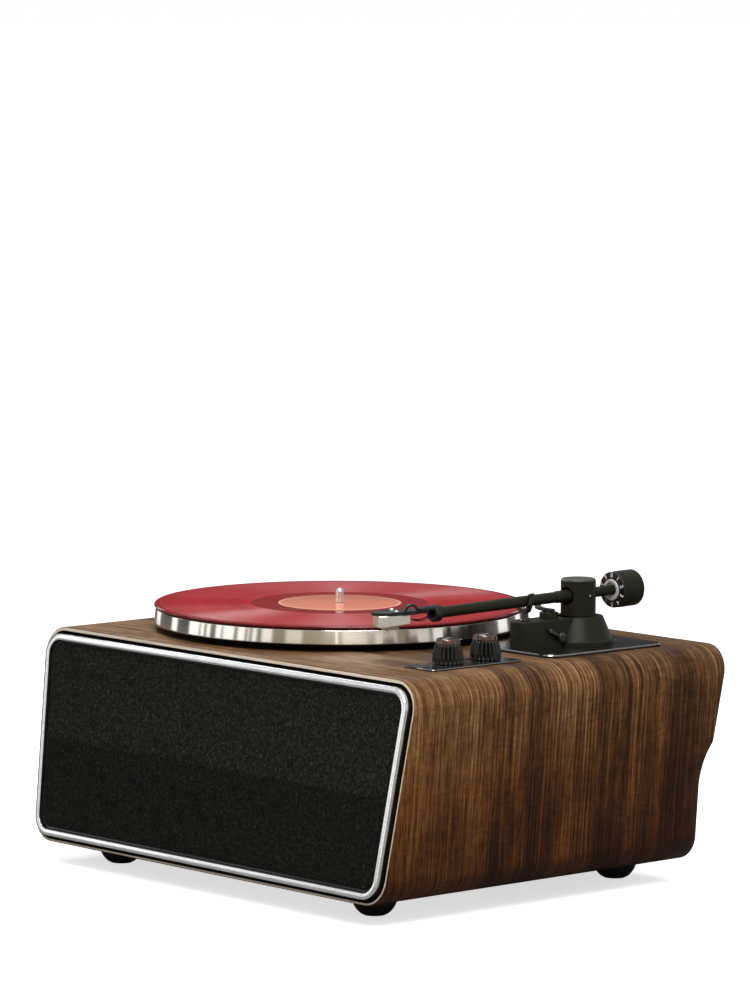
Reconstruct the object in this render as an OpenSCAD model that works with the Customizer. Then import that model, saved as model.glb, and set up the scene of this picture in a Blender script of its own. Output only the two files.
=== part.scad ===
// Table-top record player: a leaning walnut cabinet with two speakers behind a cloth
// grille, a belt-driven platter, two control knobs and a balanced tonearm.
// Millimetres. X runs to the right, Y to the back and Z up. The origin is on the
// surface that the feet stand on, below the middle of the whole object.

/* [Cabinet] */
// Width across the top, before the long corners are rounded
cabinet_w = 452; // [440:1:520]
// Height from the underside to the top
cabinet_h = 172; // [160:1:200]
// Depth of the top from its front edge to its rear edge
top_depth = 332; // [325:1:380]
// Angle by which the front leans back, in degrees
front_lean = 8.2; // [4:0.1:12]
// Angle by which each side draws in towards the bottom, in degrees
side_taper = 4.4; // [2:0.1:6]
// Outer radius of the four long corners
corner_r = 22; // [18:0.5:28]
// Thickness of the boards
board_t = 12; // [11:0.5:15]

/* [Front] */
// Thickness of the wooden lip that shows round the front
lip_t = 2.4; // [2:0.1:4.5]
// Distance from the cabinet's outside to the metal trim
trim_inset = 5.2; // [4.8:0.1:7]
// Width of the metal trim
trim_w = 4.8; // [4:0.1:6]
// How far the metal trim stands out of the wooden edge
trim_stand = 4.8; // [3:0.1:6]
// Depth of the baffle's front face behind the wooden edge
baffle_set = 5; // [4.5:0.1:8]
// Thickness of the baffle
baffle_t = 9; // [8:0.5:15]
// Gap between the trim and the grille
grille_gap = 1.8; // [1:0.1:3]
// Width of the grille frame's bars
grille_bar = 12; // [8:0.5:15]
// How far the grille cloth lies behind the front of the trim
cloth_set = 2; // [1:0.1:2.4]
// Thickness of the grille cloth
cloth_t = 1.2; // [0.8:0.1:1.6]

/* [Back] */
// Height of the upper end of the hollow in the back, above the cabinet's underside
hollow_top = 95.5; // [85:0.5:110]
// Height of the lower end of the hollow's curve
hollow_low = 60; // [50:0.5:70]
// How far the lower back steps forward
hollow_depth = 13; // [8:0.5:20]
// How far the back panel sits inside the boards' rear edges
back_set = 4; // [2:0.5:6]
// Thickness of the back panel
back_t = 6; // [5:0.5:9]
// Thickness of the lip that shows round the back panel
back_lip = 5; // [4:0.1:6]

/* [Feet] */
// Height of the feet
foot_h = 17; // [13:0.5:18]
// Radius of the domed feet where they meet the cabinet
foot_r = 18; // [17:0.5:24]
// Distance from the cabinet's sides, at the top, to the feet
foot_margin = 71.5; // [60:0.5:100]
// Distance from the top's front edge plane to the front feet
foot_front = 19.5; // [18:0.5:60]
// Distance between the front and rear feet
foot_depth = 257; // [200:1:262]

/* [Platter] */
// Distance from the cabinet's left side to the platter
platter_margin = 21.5; // [18:0.5:24]
// Width that the arm and the controls take to the right of the platter
arm_zone_w = 129.5; // [126:0.5:134]
// Gap between the top and the platter's rim
platter_gap = 4.7; // [4.2:0.1:7]
// Height of the platter's rim
rim_h = 12.8; // [12:0.1:16]
// Width of the platter's rim
rim_w = 6; // [4:0.5:10]
// Thickness of the platter's disc
disc_t = 4; // [3:0.1:5]
// Radius of the boss under the platter that the belt runs on
boss_r = 80; // [70:0.5:85]
// Thickness of the felt mat
mat_t = 1.1; // [0.8:0.1:3]
// How far the platter stands out past the felt mat
mat_inset = 3.5; // [3:0.5:20]
// How far the record reaches past the platter
record_over = 0.3; // [0:0.1:1.5]
// Thickness of the record
record_t = 2.4; // [1.5:0.1:3]
// Radius of the paper label
label_r = 50; // [40:0.5:55]
// Radius of the spindle's pin
pin_r = 3.58; // [3:0.01:3.9]
// Height of the spindle's pin above the record
pin_rise = 12; // [8:0.5:16]

/* [Drive] */
// Distance from the spindle to the motor
motor_reach = 108; // [100:0.5:120]
// Direction of the motor from the spindle, in degrees from the right
motor_angle = 145; // [120:1:170]
// Radius of the motor's can
motor_r = 18; // [14:0.5:22]
// Length of the motor's can
motor_h = 30; // [20:0.5:40]
// Radius of the pulley where the belt runs
pulley_r = 6; // [5:0.1:9]
// Width of the belt
belt_w = 5; // [3:0.1:5.2]
// Thickness of the belt
belt_t = 0.8; // [0.6:0.1:1.2]
// Radius of the spindle's shaft in its bearing
shaft_r = 4; // [4:0.1:5]
// Outer radius of the spindle's bronze bush
bush_r = 8; // [7:0.1:9]
// Length of the spindle's bush below the top
bush_depth = 30; // [20:0.5:45]

/* [Controls] */
// Width of the control plate, from left to right
control_w = 36; // [34:0.5:44]
// Length of the control plate, from front to back
control_l = 94; // [84:0.5:100]
// Thickness of the control plate
control_t = 1.5; // [1:0.1:3]
// Distance from the cabinet's right side to the control plate
control_margin = 36; // [34:0.5:44]
// Gap between the control plate and the arm's plate
plate_gap = 27; // [20:0.5:40]
// Distance from the control plate's front edge to the front knob
knob_front = 35; // [30:0.5:40]
// Distance of the knobs from the control plate's middle, to the left
knob_shift = 4; // [0:0.5:5]
// Distance between the two knobs
knob_pitch = 39.5; // [30:0.5:42]
// Radius of a knob at its foot
knob_r = 12.3; // [11:0.1:13]
// Height of a knob
knob_h = 19; // [17:0.5:24]
// Number of grip grooves on a knob
knob_grooves = 22; // [16:1:26]
// Radius of a control's shaft
stem_r = 3; // [2.5:0.1:3.4]

/* [Arm base] */
// Width of the arm's plate
arm_plate_w = 90; // [80:0.5:92]
// Length of the arm's plate
arm_plate_l = 126; // [120:0.5:132]
// Thickness of the arm's plate
arm_plate_t = 2.5; // [1.5:0.1:3.4]
// Corner radius of the arm's plate
arm_plate_r = 12; // [8:0.5:16]
// Distance from the cabinet's right side to the arm's plate
arm_plate_margin = 32; // [30:0.5:38]
// Distance from the top's rear edge to the arm's plate
arm_plate_rear = 38; // [34:0.5:44]
// Distance from the plate's right edge to the arm's pivot
pivot_inset = 46; // [40:0.5:50]
// Distance from the plate's rear edge to the arm's pivot
pivot_rear = 54; // [48:0.5:60]
// Radius of the base's round foot
base_foot_r = 30; // [29:0.5:34]
// Height of the base's round foot
base_foot_h = 4; // [3:0.1:4.4]
// Radius of the base's cone at its lower end
cone_low_r = 27.5; // [25:0.1:28]
// Radius of the base's cone at its top
cone_top_r = 19.6; // [16:0.1:22]
// Height of the base above the arm's plate
base_h = 22; // [20:0.1:22.5]
// Half of the width of the base's long block
block_half_w = 11.5; // [10:0.1:12]
// Distance from the pivot to the arm rest
rest_reach = 58; // [50:0.5:60]

/* [Arm] */
// Height of the arm's pivot above the top
pivot_rise = 41; // [40.5:0.1:44]
// Angle by which the resting arm slopes down to the front, in degrees
arm_tilt = 1; // [0.5:0.1:1.2]
// Radius of the pivot housing
housing_r = 14; // [13.2:0.1:15]
// Height of the pivot housing above the pivot
housing_rise = 11.5; // [10:0.1:14]
// Thickness of the cap on the pivot housing
cap_t = 1.5; // [1:0.1:3]
// Radius of the arm tube
tube_r = 4.1; // [3.6:0.1:4.3]
// Wall of the arm tube
tube_wall = 0.8; // [0.5:0.1:1.2]
// Distance from the pivot to the front end of the arm tube
tube_front = 150; // [140:0.5:155]
// Distance from the pivot to the rear end of the arm tube
tube_rear = 56; // [52:0.5:58]
// Radius of the vertical pivot shaft
pivot_shaft_r = 6; // [5:0.1:6.4]
// Radius of the pivot screws' points
point_r = 1.5; // [1.2:0.05:1.8]

/* [Headshell] */
// Angle by which the headshell turns in, in degrees
shell_angle = 25; // [15:0.5:27]
// Radius of the headshell's collar
collar_r = 6.5; // [5.6:0.1:7.5]
// Length of the headshell's collar
collar_l = 7; // [5:0.5:9]
// Half of the width of the headshell
shell_half_w = 9; // [8.6:0.1:10]
// Thickness of the headshell's plate
shell_t = 2.8; // [2.4:0.1:3.2]
// Length of the headshell from its bend to its tip
shell_l = 52; // [46:0.5:54]
// Width of the cartridge
cartridge_w = 17; // [15:0.1:17]
// Length of the cartridge
cartridge_l = 26; // [22:0.5:28]
// Height of the cartridge's body
cartridge_h = 9.5; // [8:0.1:10.5]
// Height of the stylus tip over the record while the arm rests
tip_clear = 2.4; // [2.2:0.1:3]

/* [Counterweight] */
// Radius of the counterweight
weight_r = 14.6; // [13:0.1:15]
// Length of the counterweight behind the dial
weight_l = 18.5; // [16:0.5:20]
// Distance from the pivot to the face of the force dial
dial_reach = 37; // [35:0.5:40]
// Thickness of the force dial
dial_t = 5; // [4:0.1:6]
// Radius of the snout that the force dial turns on
snout_r = 9; // [8:0.1:10]
// Outer radius of the counterweight's inner sleeve
sleeve_r = 6.5; // [5.5:0.1:7]

/* [Cueing] */
// Distance from the pivot to the middle of the lifter's bar
lifter_reach = 32; // [31:0.5:36]
// Width of the lifter's bar
lifter_w = 5; // [4:0.1:6]
// Thickness of the lifter's bar
lifter_t = 2.5; // [1.5:0.1:3]
// Angle over which the lifter's bar follows the arm, in degrees
lifter_sweep = 50; // [45:1:54]
// Distance from the pivot to the cue lever's axle, towards the front
cue_reach = 31; // [30.5:0.5:36]
// Length of the cue lever
cue_l = 13; // [11:0.5:20]
// Angle of the cue lever above the level while the lifter is down, in degrees
cue_angle = 24; // [15:1:35]

/* [Speakers] */
// Distance from the cabinet's side, at the top, to a speaker's middle
speaker_margin = 108; // [101:1:121]
// Radius of a speaker's front ring
speaker_r = 52; // [48:0.5:54]
// Radius of a speaker's cone
cone_r = 42; // [36:0.5:43]
// Depth of a speaker's basket behind the baffle's face
basket_depth = 24; // [20:0.5:30]
// Radius of a speaker's magnet
magnet_r = 30; // [24:0.5:32]
// Length of a speaker's magnet
magnet_l = 20; // [14:0.5:24]

/* [Electronics] */
// Width of the amplifier board
board_w = 140; // [110:1:160]
// Depth of the amplifier board
board_d = 90; // [70:1:110]
// Height of the posts that carry the amplifier board
post_h = 10; // [6:0.5:14]
// Height of the sockets above the cabinet's underside
socket_rise = 32; // [26:0.5:40]
// Radius of a phono socket's barrel
phono_r = 4.15; // [3.8:0.05:4.4]
// Distance between the two phono sockets
phono_pitch = 19; // [14:0.5:24]
// Distance from the cabinet's sides, at the top, to the sockets and the switch
socket_margin = 116; // [96:1:146]

/* [Fits] */
// Radial clearance of a part that turns or slides in another
run_gap = 0.05; // [0.03:0.01:0.08]
// Clearance round a part that is fixed in its seat
seat_gap = 0.1; // [0.05:0.01:0.2]
// Clearance between parts that move past each other
pass_gap = 0.4; // [0.3:0.05:0.5]

/* [Hidden] */
$fn = 72;
over = 1;
far = 400;

// Cabinet levels and edges
top_z = foot_h + cabinet_h;
floor_z = foot_h + board_t;
lean_run = cabinet_h * tan(front_lean);
trim_reach = top_depth / 2 + lean_run - trim_inset * tan(front_lean) + trim_stand / cos(front_lean);
mid_y = (trim_reach - top_depth / 2) / 2;
mid_z = foot_h + cabinet_h / 2;
front_top_y = mid_y - top_depth / 2;
rear_top_y = mid_y + top_depth / 2;
side_x = cabinet_w / 2;
speaker_x = side_x - speaker_margin;
socket_x = side_x - socket_margin;
foot_x = side_x - foot_margin;
function front_y(z) = front_top_y - (top_z - z) * tan(front_lean);
function lean_rear_y(z) = rear_top_y - (top_z - z) * tan(front_lean);

// Hollow in the back
step_top_z = foot_h + hollow_top;
step_low_z = foot_h + hollow_low;
low_rear_y = lean_rear_y(step_top_z) - hollow_depth;
step_rise = step_top_z - step_low_z;
step_r = (hollow_depth * hollow_depth + step_rise * step_rise) / (2 * hollow_depth);

// Front layers, measured behind the wooden edge
rebate_d = baffle_set + baffle_t;
cloth_front = cloth_set - trim_stand;
cloth_back = cloth_front + cloth_t;
grille_inset = trim_inset + trim_w + grille_gap;
rib_half_h = 4;
rib_t = 3;

// Platter levels
platter_r = (cabinet_w - platter_margin - arm_zone_w) / 2;
mat_r = platter_r - mat_inset;
record_r = platter_r + record_over;
platter_x = platter_margin + platter_r - side_x;
platter_y = mid_y;
platter_low_z = top_z + platter_gap;
platter_top_z = platter_low_z + rim_h;
disc_low_z = platter_top_z - disc_t;
boss_low_z = platter_low_z + 0.3;
mat_top_z = platter_top_z + mat_t;
record_top_z = mat_top_z + record_t;
label_t = 0.3;
label_sink = 0.2;
record_hole_r = pin_r + run_gap;
pin_tip_h = 2;
pin_relief = 0.5;
pin_neck_r = pin_r - 0.6;
pin_neck_h = 1.2;

// Bearing and drive
flange_r = 30;
flange_t = 3;
flange_top_z = top_z + flange_t;
shaft_low_z = top_z - bush_depth;
bearing_wall = 6;
bearing_r = bush_r + bearing_wall;
bearing_floor = 4;
collar_disc_r = 12;
motor_x = platter_x + motor_reach * cos(motor_angle);
motor_y = platter_y + motor_reach * sin(motor_angle);
motor_top_z = top_z - board_t;
motor_flange_r = motor_r + 7;
motor_flange_t = 2.5;
motor_boss_r = 6;
motor_boss_h = 9;
motor_shaft_r = 1.25;
belt_z = boss_low_z + 1.6;
belt_slack = 0.3;
pulley_side = 0.6;
pulley_lip_t = 0.8;
pulley_lip_r = pulley_r + belt_slack + belt_t + 0.6;

// Controls
control_x = side_x - control_margin - control_w / 2;
control_y = rear_top_y - arm_plate_rear - arm_plate_l - plate_gap - control_l / 2;
control_top_z = top_z + control_t;
knob_x = control_x - knob_shift;
knob_front_y = control_y - control_l / 2 + knob_front;
knob_ys = [knob_front_y, knob_front_y + knob_pitch];
knob_low_z = control_top_z + 0.5;
knob_bore_h = knob_h - 4;
neck_r = stem_r + 1;
pot_half = 10;
pot_h = 10;
control_corner_r = 4;
plate_screw_inset = 8;

// Arm base
arm_plate_x = side_x - arm_plate_margin - arm_plate_w / 2;
arm_plate_y = rear_top_y - arm_plate_rear - arm_plate_l / 2;
arm_plate_top_z = top_z + arm_plate_t;
pivot_x = side_x - arm_plate_margin - pivot_inset;
pivot_y = rear_top_y - arm_plate_rear - pivot_rear;
pivot_z = top_z + pivot_rise;
base_top_z = arm_plate_top_z + base_h;
base_stem_r = pivot_shaft_r + 7;
base_stem_low_z = top_z - board_t - 6;
pivot_bush_r = pivot_shaft_r + 3;
housing_low_z = base_top_z + pass_gap;
housing_top_z = pivot_z + housing_rise;
arm_hole_r = tube_r + 3.3;
tube_sleeve_r = tube_r + 0.8;
tube_sleeve_l = 24;
trunnion_r = tube_r + 1.2;
trunnion_half = 8.2;
trunnion_room = 0.8;
screw_r = 2;

// Arm rest
rest_z = pivot_z - rest_reach * sin(arm_tilt);
rest_floor_z = rest_z - tube_r - 1.1;
rest_half_l = 2.5;
rest_floor_t = 4;
ear_gap = 0.9;
ear_t = 2.6;
ear_rise = 7.4;
rest_post_r = 2.4;

// Headshell, in the arm's own frame
bend_y = -(tube_front + collar_l + 3);
shell_low = 1;
neck_half_w = 5;
neck_low = shell_low + shell_t - 0.4;
neck_t = 2.2;
neck_lap = 9;
shell_neck_half_w = 7;
shell_tip_half_w = 4;
shell_shoulder = 12;
shell_nose = 12;
cartridge_y = -17;
cartridge_nose = 2.4;
stylus_y = cartridge_y - 19;
stylus_half_w = 3;
stylus_block_l = 13;
stylus_block_h = 2.5;
tip_r = 0.35;
stylus_arm_y = bend_y + stylus_y * cos(shell_angle);
tip_z = (record_top_z + tip_clear - pivot_z - stylus_arm_y * sin(arm_tilt)) / cos(arm_tilt);
cartridge_low = shell_low - cartridge_h;
wire_r = 0.45;
wire_rows = [-4.5, -1.5, 1.5, 4.5];

// Counterweight, along the arm tube
sleeve_front = dial_reach - 1.5;
sleeve_flange_t = 1.4;
sleeve_flange_r = snout_r - 0.3;
weight_front = dial_reach + dial_t + 0.3;
weight_rear = weight_front + weight_l;
weight_recess = 5;
weight_recess_r = 11;

// Cueing
lifter_guide_r = 7.5;
lifter_guide_rise = 5;
lifter_guide_depth = 11;
lifter_stem_r = 2;
lifter_low_z = base_top_z + lifter_guide_rise + 0.3;
lifter_overlap = 8;
cue_z = arm_plate_top_z + base_foot_h + 4.3;
cue_hub_r = 4;
cue_hub_t = 4;
cue_pin_r = 2;
cue_pin_l = 9;
cue_x = block_half_w + 0.3;

// Electronics and sockets
socket_z = foot_h + socket_rise;
socket_y = low_rear_y - back_set;
pcb_t = 1.6;
pcb_y = mid_y + 50;
pcb_z = floor_z + post_h;
post_r = 4;
post_inset = 6;
phono_l = 9;
phono_plate_t = 2.5;
phono_plate_h = 16;
inlet_r = 6;
inlet_l = 12;
inlet_bore_r = 2.8;
inlet_pin_r = 1;
inlet_ring_r = 8;
inlet_ring_t = 2;
switch_w = 21;
switch_h = 15;
switch_rim = 2;
switch_rim_t = 2;
switch_wall = 1.6;
switch_depth = 14;
rocker_tilt = 8;
rocker_pin_r = 1.2;
rocker_half_d = 3.5;

// Fasteners
foot_screw_r = 2;
foot_head_r = 4.2;
foot_head_h = 3;
foot_recess = 7.5;
foot_bite = 10;
small_screw_r = 1.5;
small_head_r = 3.2;
small_head_h = 1;
back_screw_l = 16;
back_head_r = 3.5;
back_head_h = 2.2;
back_screw_inset = (back_lip + board_t) / 2;
back_screw_x = 150;

// Plain shapes

module rod(r, z0, z1) {
    translate([0, 0, z0]) cylinder(r = r, h = z1 - z0);
}

module pipe(r_out, r_in, z0, z1) {
    difference() {
        rod(r_out, z0, z1);
        rod(r_in, z0 - over, z1 + over);
    }
}

module rod_y(r, y0, y1) {
    translate([0, y0, 0]) rotate([-90, 0, 0]) cylinder(r = r, h = y1 - y0);
}

module rod_x(r, x0, x1) {
    translate([x0, 0, 0]) rotate([0, 90, 0]) cylinder(r = r, h = x1 - x0);
}

module box(x0, x1, y0, y1, z0, z1) {
    translate([x0, y0, z0]) cube([x1 - x0, y1 - y0, z1 - z0]);
}

module rounded_rect(w, l, r) {
    square([w - 2 * r, l], center = true);
    square([w, l - 2 * r], center = true);
    for (sx = [-1, 1], sy = [-1, 1])
        translate([sx * (w / 2 - r), sy * (l / 2 - r)]) circle(r);
}

module along_y(y0, y1) {
    translate([0, y1, 0]) rotate([90, 0, 0]) linear_extrude(y1 - y0) children();
}

module along_x(x0, x1) {
    translate([x0, 0, 0]) rotate([90, 0, 90]) linear_extrude(x1 - x0) children();
}

// Cabinet outlines

// Sharp corner points of the cabinet's cross-section, moved in by a given distance
function top_corner(d) = [side_x - d * (1 / cos(side_taper) + tan(side_taper)), top_z - d];
function low_corner(d) = [side_x - d / cos(side_taper) - (cabinet_h - d) * tan(side_taper), foot_h + d];
function flip(p) = [-p[0], p[1]];

// What is taken off a sharp corner to round it, between two directions from its centre
module corner_cut(centre, r, a0, a1) {
    reach = 3 * r;
    mid = (a0 + a1) / 2;
    translate(centre) difference() {
        polygon([[0, 0], reach * [cos(a0), sin(a0)], 1.5 * reach * [cos(mid), sin(mid)],
            reach * [cos(a1), sin(a1)]]);
        circle(r);
    }
}

// Cross-section of the cabinet seen from the front, moved in by a given distance
module cabinet_outline(inset) {
    r = max(corner_r - inset, 4);
    upper = top_corner(inset + r);
    lower = low_corner(inset + r);
    difference() {
        polygon([flip(top_corner(inset)), top_corner(inset), low_corner(inset), flip(low_corner(inset))]);
        corner_cut(upper, r, -side_taper, 90);
        corner_cut(lower, r, -side_taper, -90);
        corner_cut(flip(upper), r, 180 + side_taper, 90);
        corner_cut(flip(lower), r, 180 + side_taper, 270);
    }
}

// Profile of the cabinet seen from the side: leaning front and back, and the hollow
// that steps the lower back forward
module side_profile() {
    difference() {
        polygon([[front_y(foot_h), foot_h], [front_top_y, top_z], [rear_top_y, top_z],
            [lean_rear_y(step_top_z), step_top_z], [lean_rear_y(step_top_z), step_low_z],
            [low_rear_y, step_low_z], [low_rear_y, foot_h]]);
        translate([low_rear_y + step_r, step_low_z]) circle(step_r, $fn = 180);
    }
}

// Strip of the side profile along the back, from one depth to another
module rear_strip(d0, d1) {
    difference() {
        translate([-d0, 0]) side_profile();
        translate([-d1, 0]) side_profile();
    }
}

// Slab parallel to the leaning front, between two depths behind the wooden edge
module front_slab(d0, d1) {
    z0 = foot_h - over;
    z1 = top_z + over;
    y0 = d0 / cos(front_lean);
    y1 = d1 / cos(front_lean);
    along_x(-far, far)
        polygon([[front_y(z0) + y0, z0], [front_y(z1) + y0, z1],
            [front_y(z1) + y1, z1], [front_y(z0) + y1, z0]]);
}

module front_layer(inset, d0, d1) {
    intersection() {
        along_y(-far, far) cabinet_outline(inset);
        front_slab(d0, d1);
    }
}

// Frame on the leaning front: local Z points out of the front, local Y up along it
module on_front(x) {
    translate([x, front_y(mid_z), mid_z]) rotate([90 - front_lean, 0, 0]) children();
}

function rear_edge_y(z) = z >= step_top_z ? lean_rear_y(z)
    : z <= step_low_z ? low_rear_y
    : low_rear_y + step_r - sqrt(step_r * step_r - (z - step_low_z) * (z - step_low_z));

back_screw_places = [for (z = [foot_h + back_screw_inset, top_z - back_screw_inset], i = [-1, 0, 1])
    [i * back_screw_x, rear_edge_y(z) - back_set, z]];

module at_back_screws() {
    for (p = back_screw_places) translate(p) children();
}

foot_front_y = front_top_y + foot_front;
foot_places = [for (sx = [-1, 1], y = [foot_front_y, foot_front_y + foot_depth]) [sx * foot_x, y, 0]];

module at_feet() {
    for (p = foot_places) translate(p) children();
}

control_screw_ys = [control_y - control_l / 2 + plate_screw_inset, knob_front_y + knob_pitch / 2];
control_screw_places = [for (y = control_screw_ys) [control_x, y, control_top_z]];
arm_screw_places = [for (sx = [-1, 1], sy = [-1, 1])
    [arm_plate_x + sx * (arm_plate_w / 2 - plate_screw_inset),
     arm_plate_y + sy * (arm_plate_l / 2 - plate_screw_inset), arm_plate_top_z]];
plate_screw_l = 12;

module at_plate_screws() {
    for (p = concat(control_screw_places, arm_screw_places)) translate(p) children();
}

// Cabinet

module cabinet_sleeve() {
    difference() {
        intersection() {
            along_y(-far, far) difference() {
                cabinet_outline(0);
                cabinet_outline(board_t);
            }
            along_x(-far, far) side_profile();
        }
        front_layer(lip_t, -over, rebate_d);
        intersection() {
            along_y(-far, far) cabinet_outline(back_lip);
            along_x(-far, far) rear_strip(-over, back_set + back_t);
        }
        at_back_screws() rod_y(small_screw_r + seat_gap, -back_head_h - back_screw_l - over, over);
    }
}

// One board of the cabinet: the sleeve cut along its mitres
module cabinet_board(corners) {
    intersection() {
        cabinet_sleeve();
        along_y(-far, far) polygon(corners);
    }
}

mitre_out = -8;
mitre_in = board_t + 12;

module cabinet_top() {
    color("sienna") difference() {
        cabinet_board([flip(top_corner(mitre_out)), top_corner(mitre_out),
            top_corner(mitre_in), flip(top_corner(mitre_in))]);
        translate([platter_x, platter_y, 0])
            rod(bearing_r + seat_gap, top_z - board_t - over, top_z + over);
        translate([motor_x, motor_y, 0]) rod(motor_boss_r + seat_gap, top_z - board_t - over, top_z + over);
        for (y = knob_ys) translate([knob_x, y, 0])
            rod(neck_r + seat_gap, top_z - board_t - over, top_z + over);
        translate([pivot_x, pivot_y, 0]) rod(base_stem_r + seat_gap, top_z - board_t - over, top_z + over);
        at_plate_screws() rod(small_screw_r + seat_gap, -plate_screw_l - over, over);
    }
}

module cabinet_bottom() {
    color("saddlebrown") difference() {
        cabinet_board([flip(low_corner(mitre_out)), low_corner(mitre_out),
            low_corner(mitre_in), flip(low_corner(mitre_in))]);
        at_feet() rod(foot_screw_r + seat_gap, foot_h - over, foot_h + foot_bite + over);
    }
}

side_mitres = [top_corner(mitre_out), low_corner(mitre_out), low_corner(mitre_in), top_corner(mitre_in)];

module cabinet_right() {
    color("sienna") cabinet_board(side_mitres);
}

module cabinet_left() {
    color("sienna") cabinet_board([for (p = side_mitres) flip(p)]);
}

module back_panel() {
    color("dimgray") difference() {
        intersection() {
            along_y(-far, far) cabinet_outline(back_lip + seat_gap);
            along_x(-far, far) rear_strip(back_set, back_set + back_t);
        }
        at_back_screws() rod_y(small_screw_r + seat_gap, -back_t - over, over);
        at_back_screws() rod_y(back_head_r + seat_gap, -back_head_h, 2 * back_set);
        translate([-socket_x, socket_y, socket_z])
            for (s = [-1, 1]) translate([s * phono_pitch / 2, 0, 0]) rod_y(phono_r + 1, -back_t - over, over);
        translate([0, socket_y, socket_z]) rod_y(inlet_r + seat_gap, -back_t - over, over);
        translate([socket_x, socket_y, socket_z])
            box(-switch_w / 2 - seat_gap, switch_w / 2 + seat_gap, -back_t - over, over,
                -switch_h / 2 - seat_gap, switch_h / 2 + seat_gap);
    }
}

// Front

module front_baffle() {
    color("black") difference() {
        front_layer(trim_inset, baffle_set, rebate_d);
        for (s = [-1, 1]) on_front(s * speaker_x) rod(basket_rim_r + 1, -rebate_d - over, 0);
    }
}

module trim_ring() {
    color("silver") difference() {
        front_layer(trim_inset, -trim_stand, baffle_set);
        front_layer(trim_inset + trim_w, -trim_stand - over, baffle_set + over);
    }
}

module grille_frame() {
    color("dimgray") {
        difference() {
            front_layer(grille_inset, cloth_back, baffle_set);
            front_layer(grille_inset + grille_bar, cloth_back - over, baffle_set + over);
        }
        intersection() {
            front_layer(grille_inset + grille_bar, cloth_back, cloth_back + rib_t);
            box(-far, far, -far, far, mid_z - rib_half_h, mid_z + rib_half_h);
        }
    }
}

module grille_cloth() {
    color("darkslategray") front_layer(grille_inset, cloth_front, cloth_back);
}

// Speakers, in a frame whose Z points out of the baffle's face

speaker_ring_t = 3;
basket_rim_r = cone_r + 3;
basket_low_r = magnet_r + 4;
coil_r = 13;
cone_t = 1.2;
dust_cap_h = 6;
surround_w = 5;
surround_t = 1.2;
cone_depth = basket_depth - 6;

module at_speaker(side) {
    on_front(side * speaker_x) translate([0, 0, -baffle_set]) children();
}

module speaker_frame(side) {
    color("gray") at_speaker(side) difference() {
        union() {
            rod(speaker_r, 0, speaker_ring_t);
            translate([0, 0, -basket_depth]) cylinder(r1 = basket_low_r, r2 = basket_rim_r, h = basket_depth);
            rod(magnet_r, -basket_depth - magnet_l, -basket_depth);
        }
        rod(cone_r + 1, 0, speaker_ring_t + over);
        translate([0, 0, -cone_depth - 2])
            cylinder(r1 = coil_r + 2, r2 = cone_r, h = cone_depth + 2.01);
    }
}

module speaker_cone(side) {
    color("darkgray") at_speaker(side) rotate_extrude()
        polygon([[0, -cone_depth + dust_cap_h], [coil_r, -cone_depth], [cone_r - surround_w, 0],
            [cone_r + 1 - seat_gap, 0], [cone_r + 1 - seat_gap, surround_t],
            [cone_r - surround_w - cone_t, surround_t], [coil_r - cone_t / 2, -cone_depth + cone_t],
            [0, -cone_depth + dust_cap_h + cone_t]]);
}

module speaker_frame_left() { speaker_frame(-1); }
module speaker_frame_right() { speaker_frame(1); }
module speaker_cone_left() { speaker_cone(-1); }
module speaker_cone_right() { speaker_cone(1); }

// Platter and drive

module at_platter() {
    translate([platter_x, platter_y, 0]) children();
}

module bearing_housing() {
    color("silver") at_platter() difference() {
        union() {
            rod(bearing_r, shaft_low_z - bearing_floor, top_z);
            rod(flange_r, top_z, flange_top_z);
        }
        rod(bush_r + seat_gap, shaft_low_z, flange_top_z + over);
    }
}

module bearing_bush() {
    color("peru") at_platter() pipe(bush_r, shaft_r + run_gap, shaft_low_z, flange_top_z);
}

module spindle() {
    color("lightgray") at_platter() {
        rod(shaft_r, shaft_low_z, boss_low_z);
        rod(collar_disc_r, flange_top_z + 0.3, boss_low_z);
        rod(pin_r, boss_low_z, record_top_z + pin_relief - pin_neck_h);
        rod(pin_neck_r, boss_low_z, record_top_z + pin_rise - pin_tip_h);
        rod(pin_r, record_top_z + pin_relief, record_top_z + pin_rise - pin_tip_h);
        translate([0, 0, record_top_z + pin_rise - pin_tip_h])
            cylinder(r1 = pin_r, r2 = pin_r / 2, h = pin_tip_h);
    }
}

module platter() {
    bevel = 0.8;
    color("lightgray") at_platter() rotate_extrude($fn = 180)
        polygon([[pin_r + seat_gap, boss_low_z], [boss_r, boss_low_z], [boss_r, disc_low_z],
            [platter_r - rim_w, disc_low_z], [platter_r - rim_w, platter_low_z],
            [platter_r - bevel, platter_low_z], [platter_r, platter_low_z + bevel],
            [platter_r, platter_top_z - bevel], [platter_r - bevel, platter_top_z],
            [pin_r + seat_gap, platter_top_z]]);
}

module slip_mat() {
    color("black") at_platter() pipe(mat_r, pin_r + 1, platter_top_z, mat_top_z);
}

module record() {
    edge = 0.7;
    color("firebrick") at_platter() rotate_extrude($fn = 180)
        polygon([[record_hole_r, mat_top_z], [record_r - edge, mat_top_z],
            [record_r, mat_top_z + record_t / 2],
            [record_r - edge, record_top_z], [label_r + seat_gap, record_top_z],
            [label_r + seat_gap, record_top_z - label_sink], [record_hole_r, record_top_z - label_sink]]);
}

module record_label() {
    color("sandybrown") at_platter()
        pipe(label_r, record_hole_r, record_top_z - label_sink, record_top_z - label_sink + label_t);
}

module at_motor() {
    translate([motor_x, motor_y, 0]) children();
}

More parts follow.
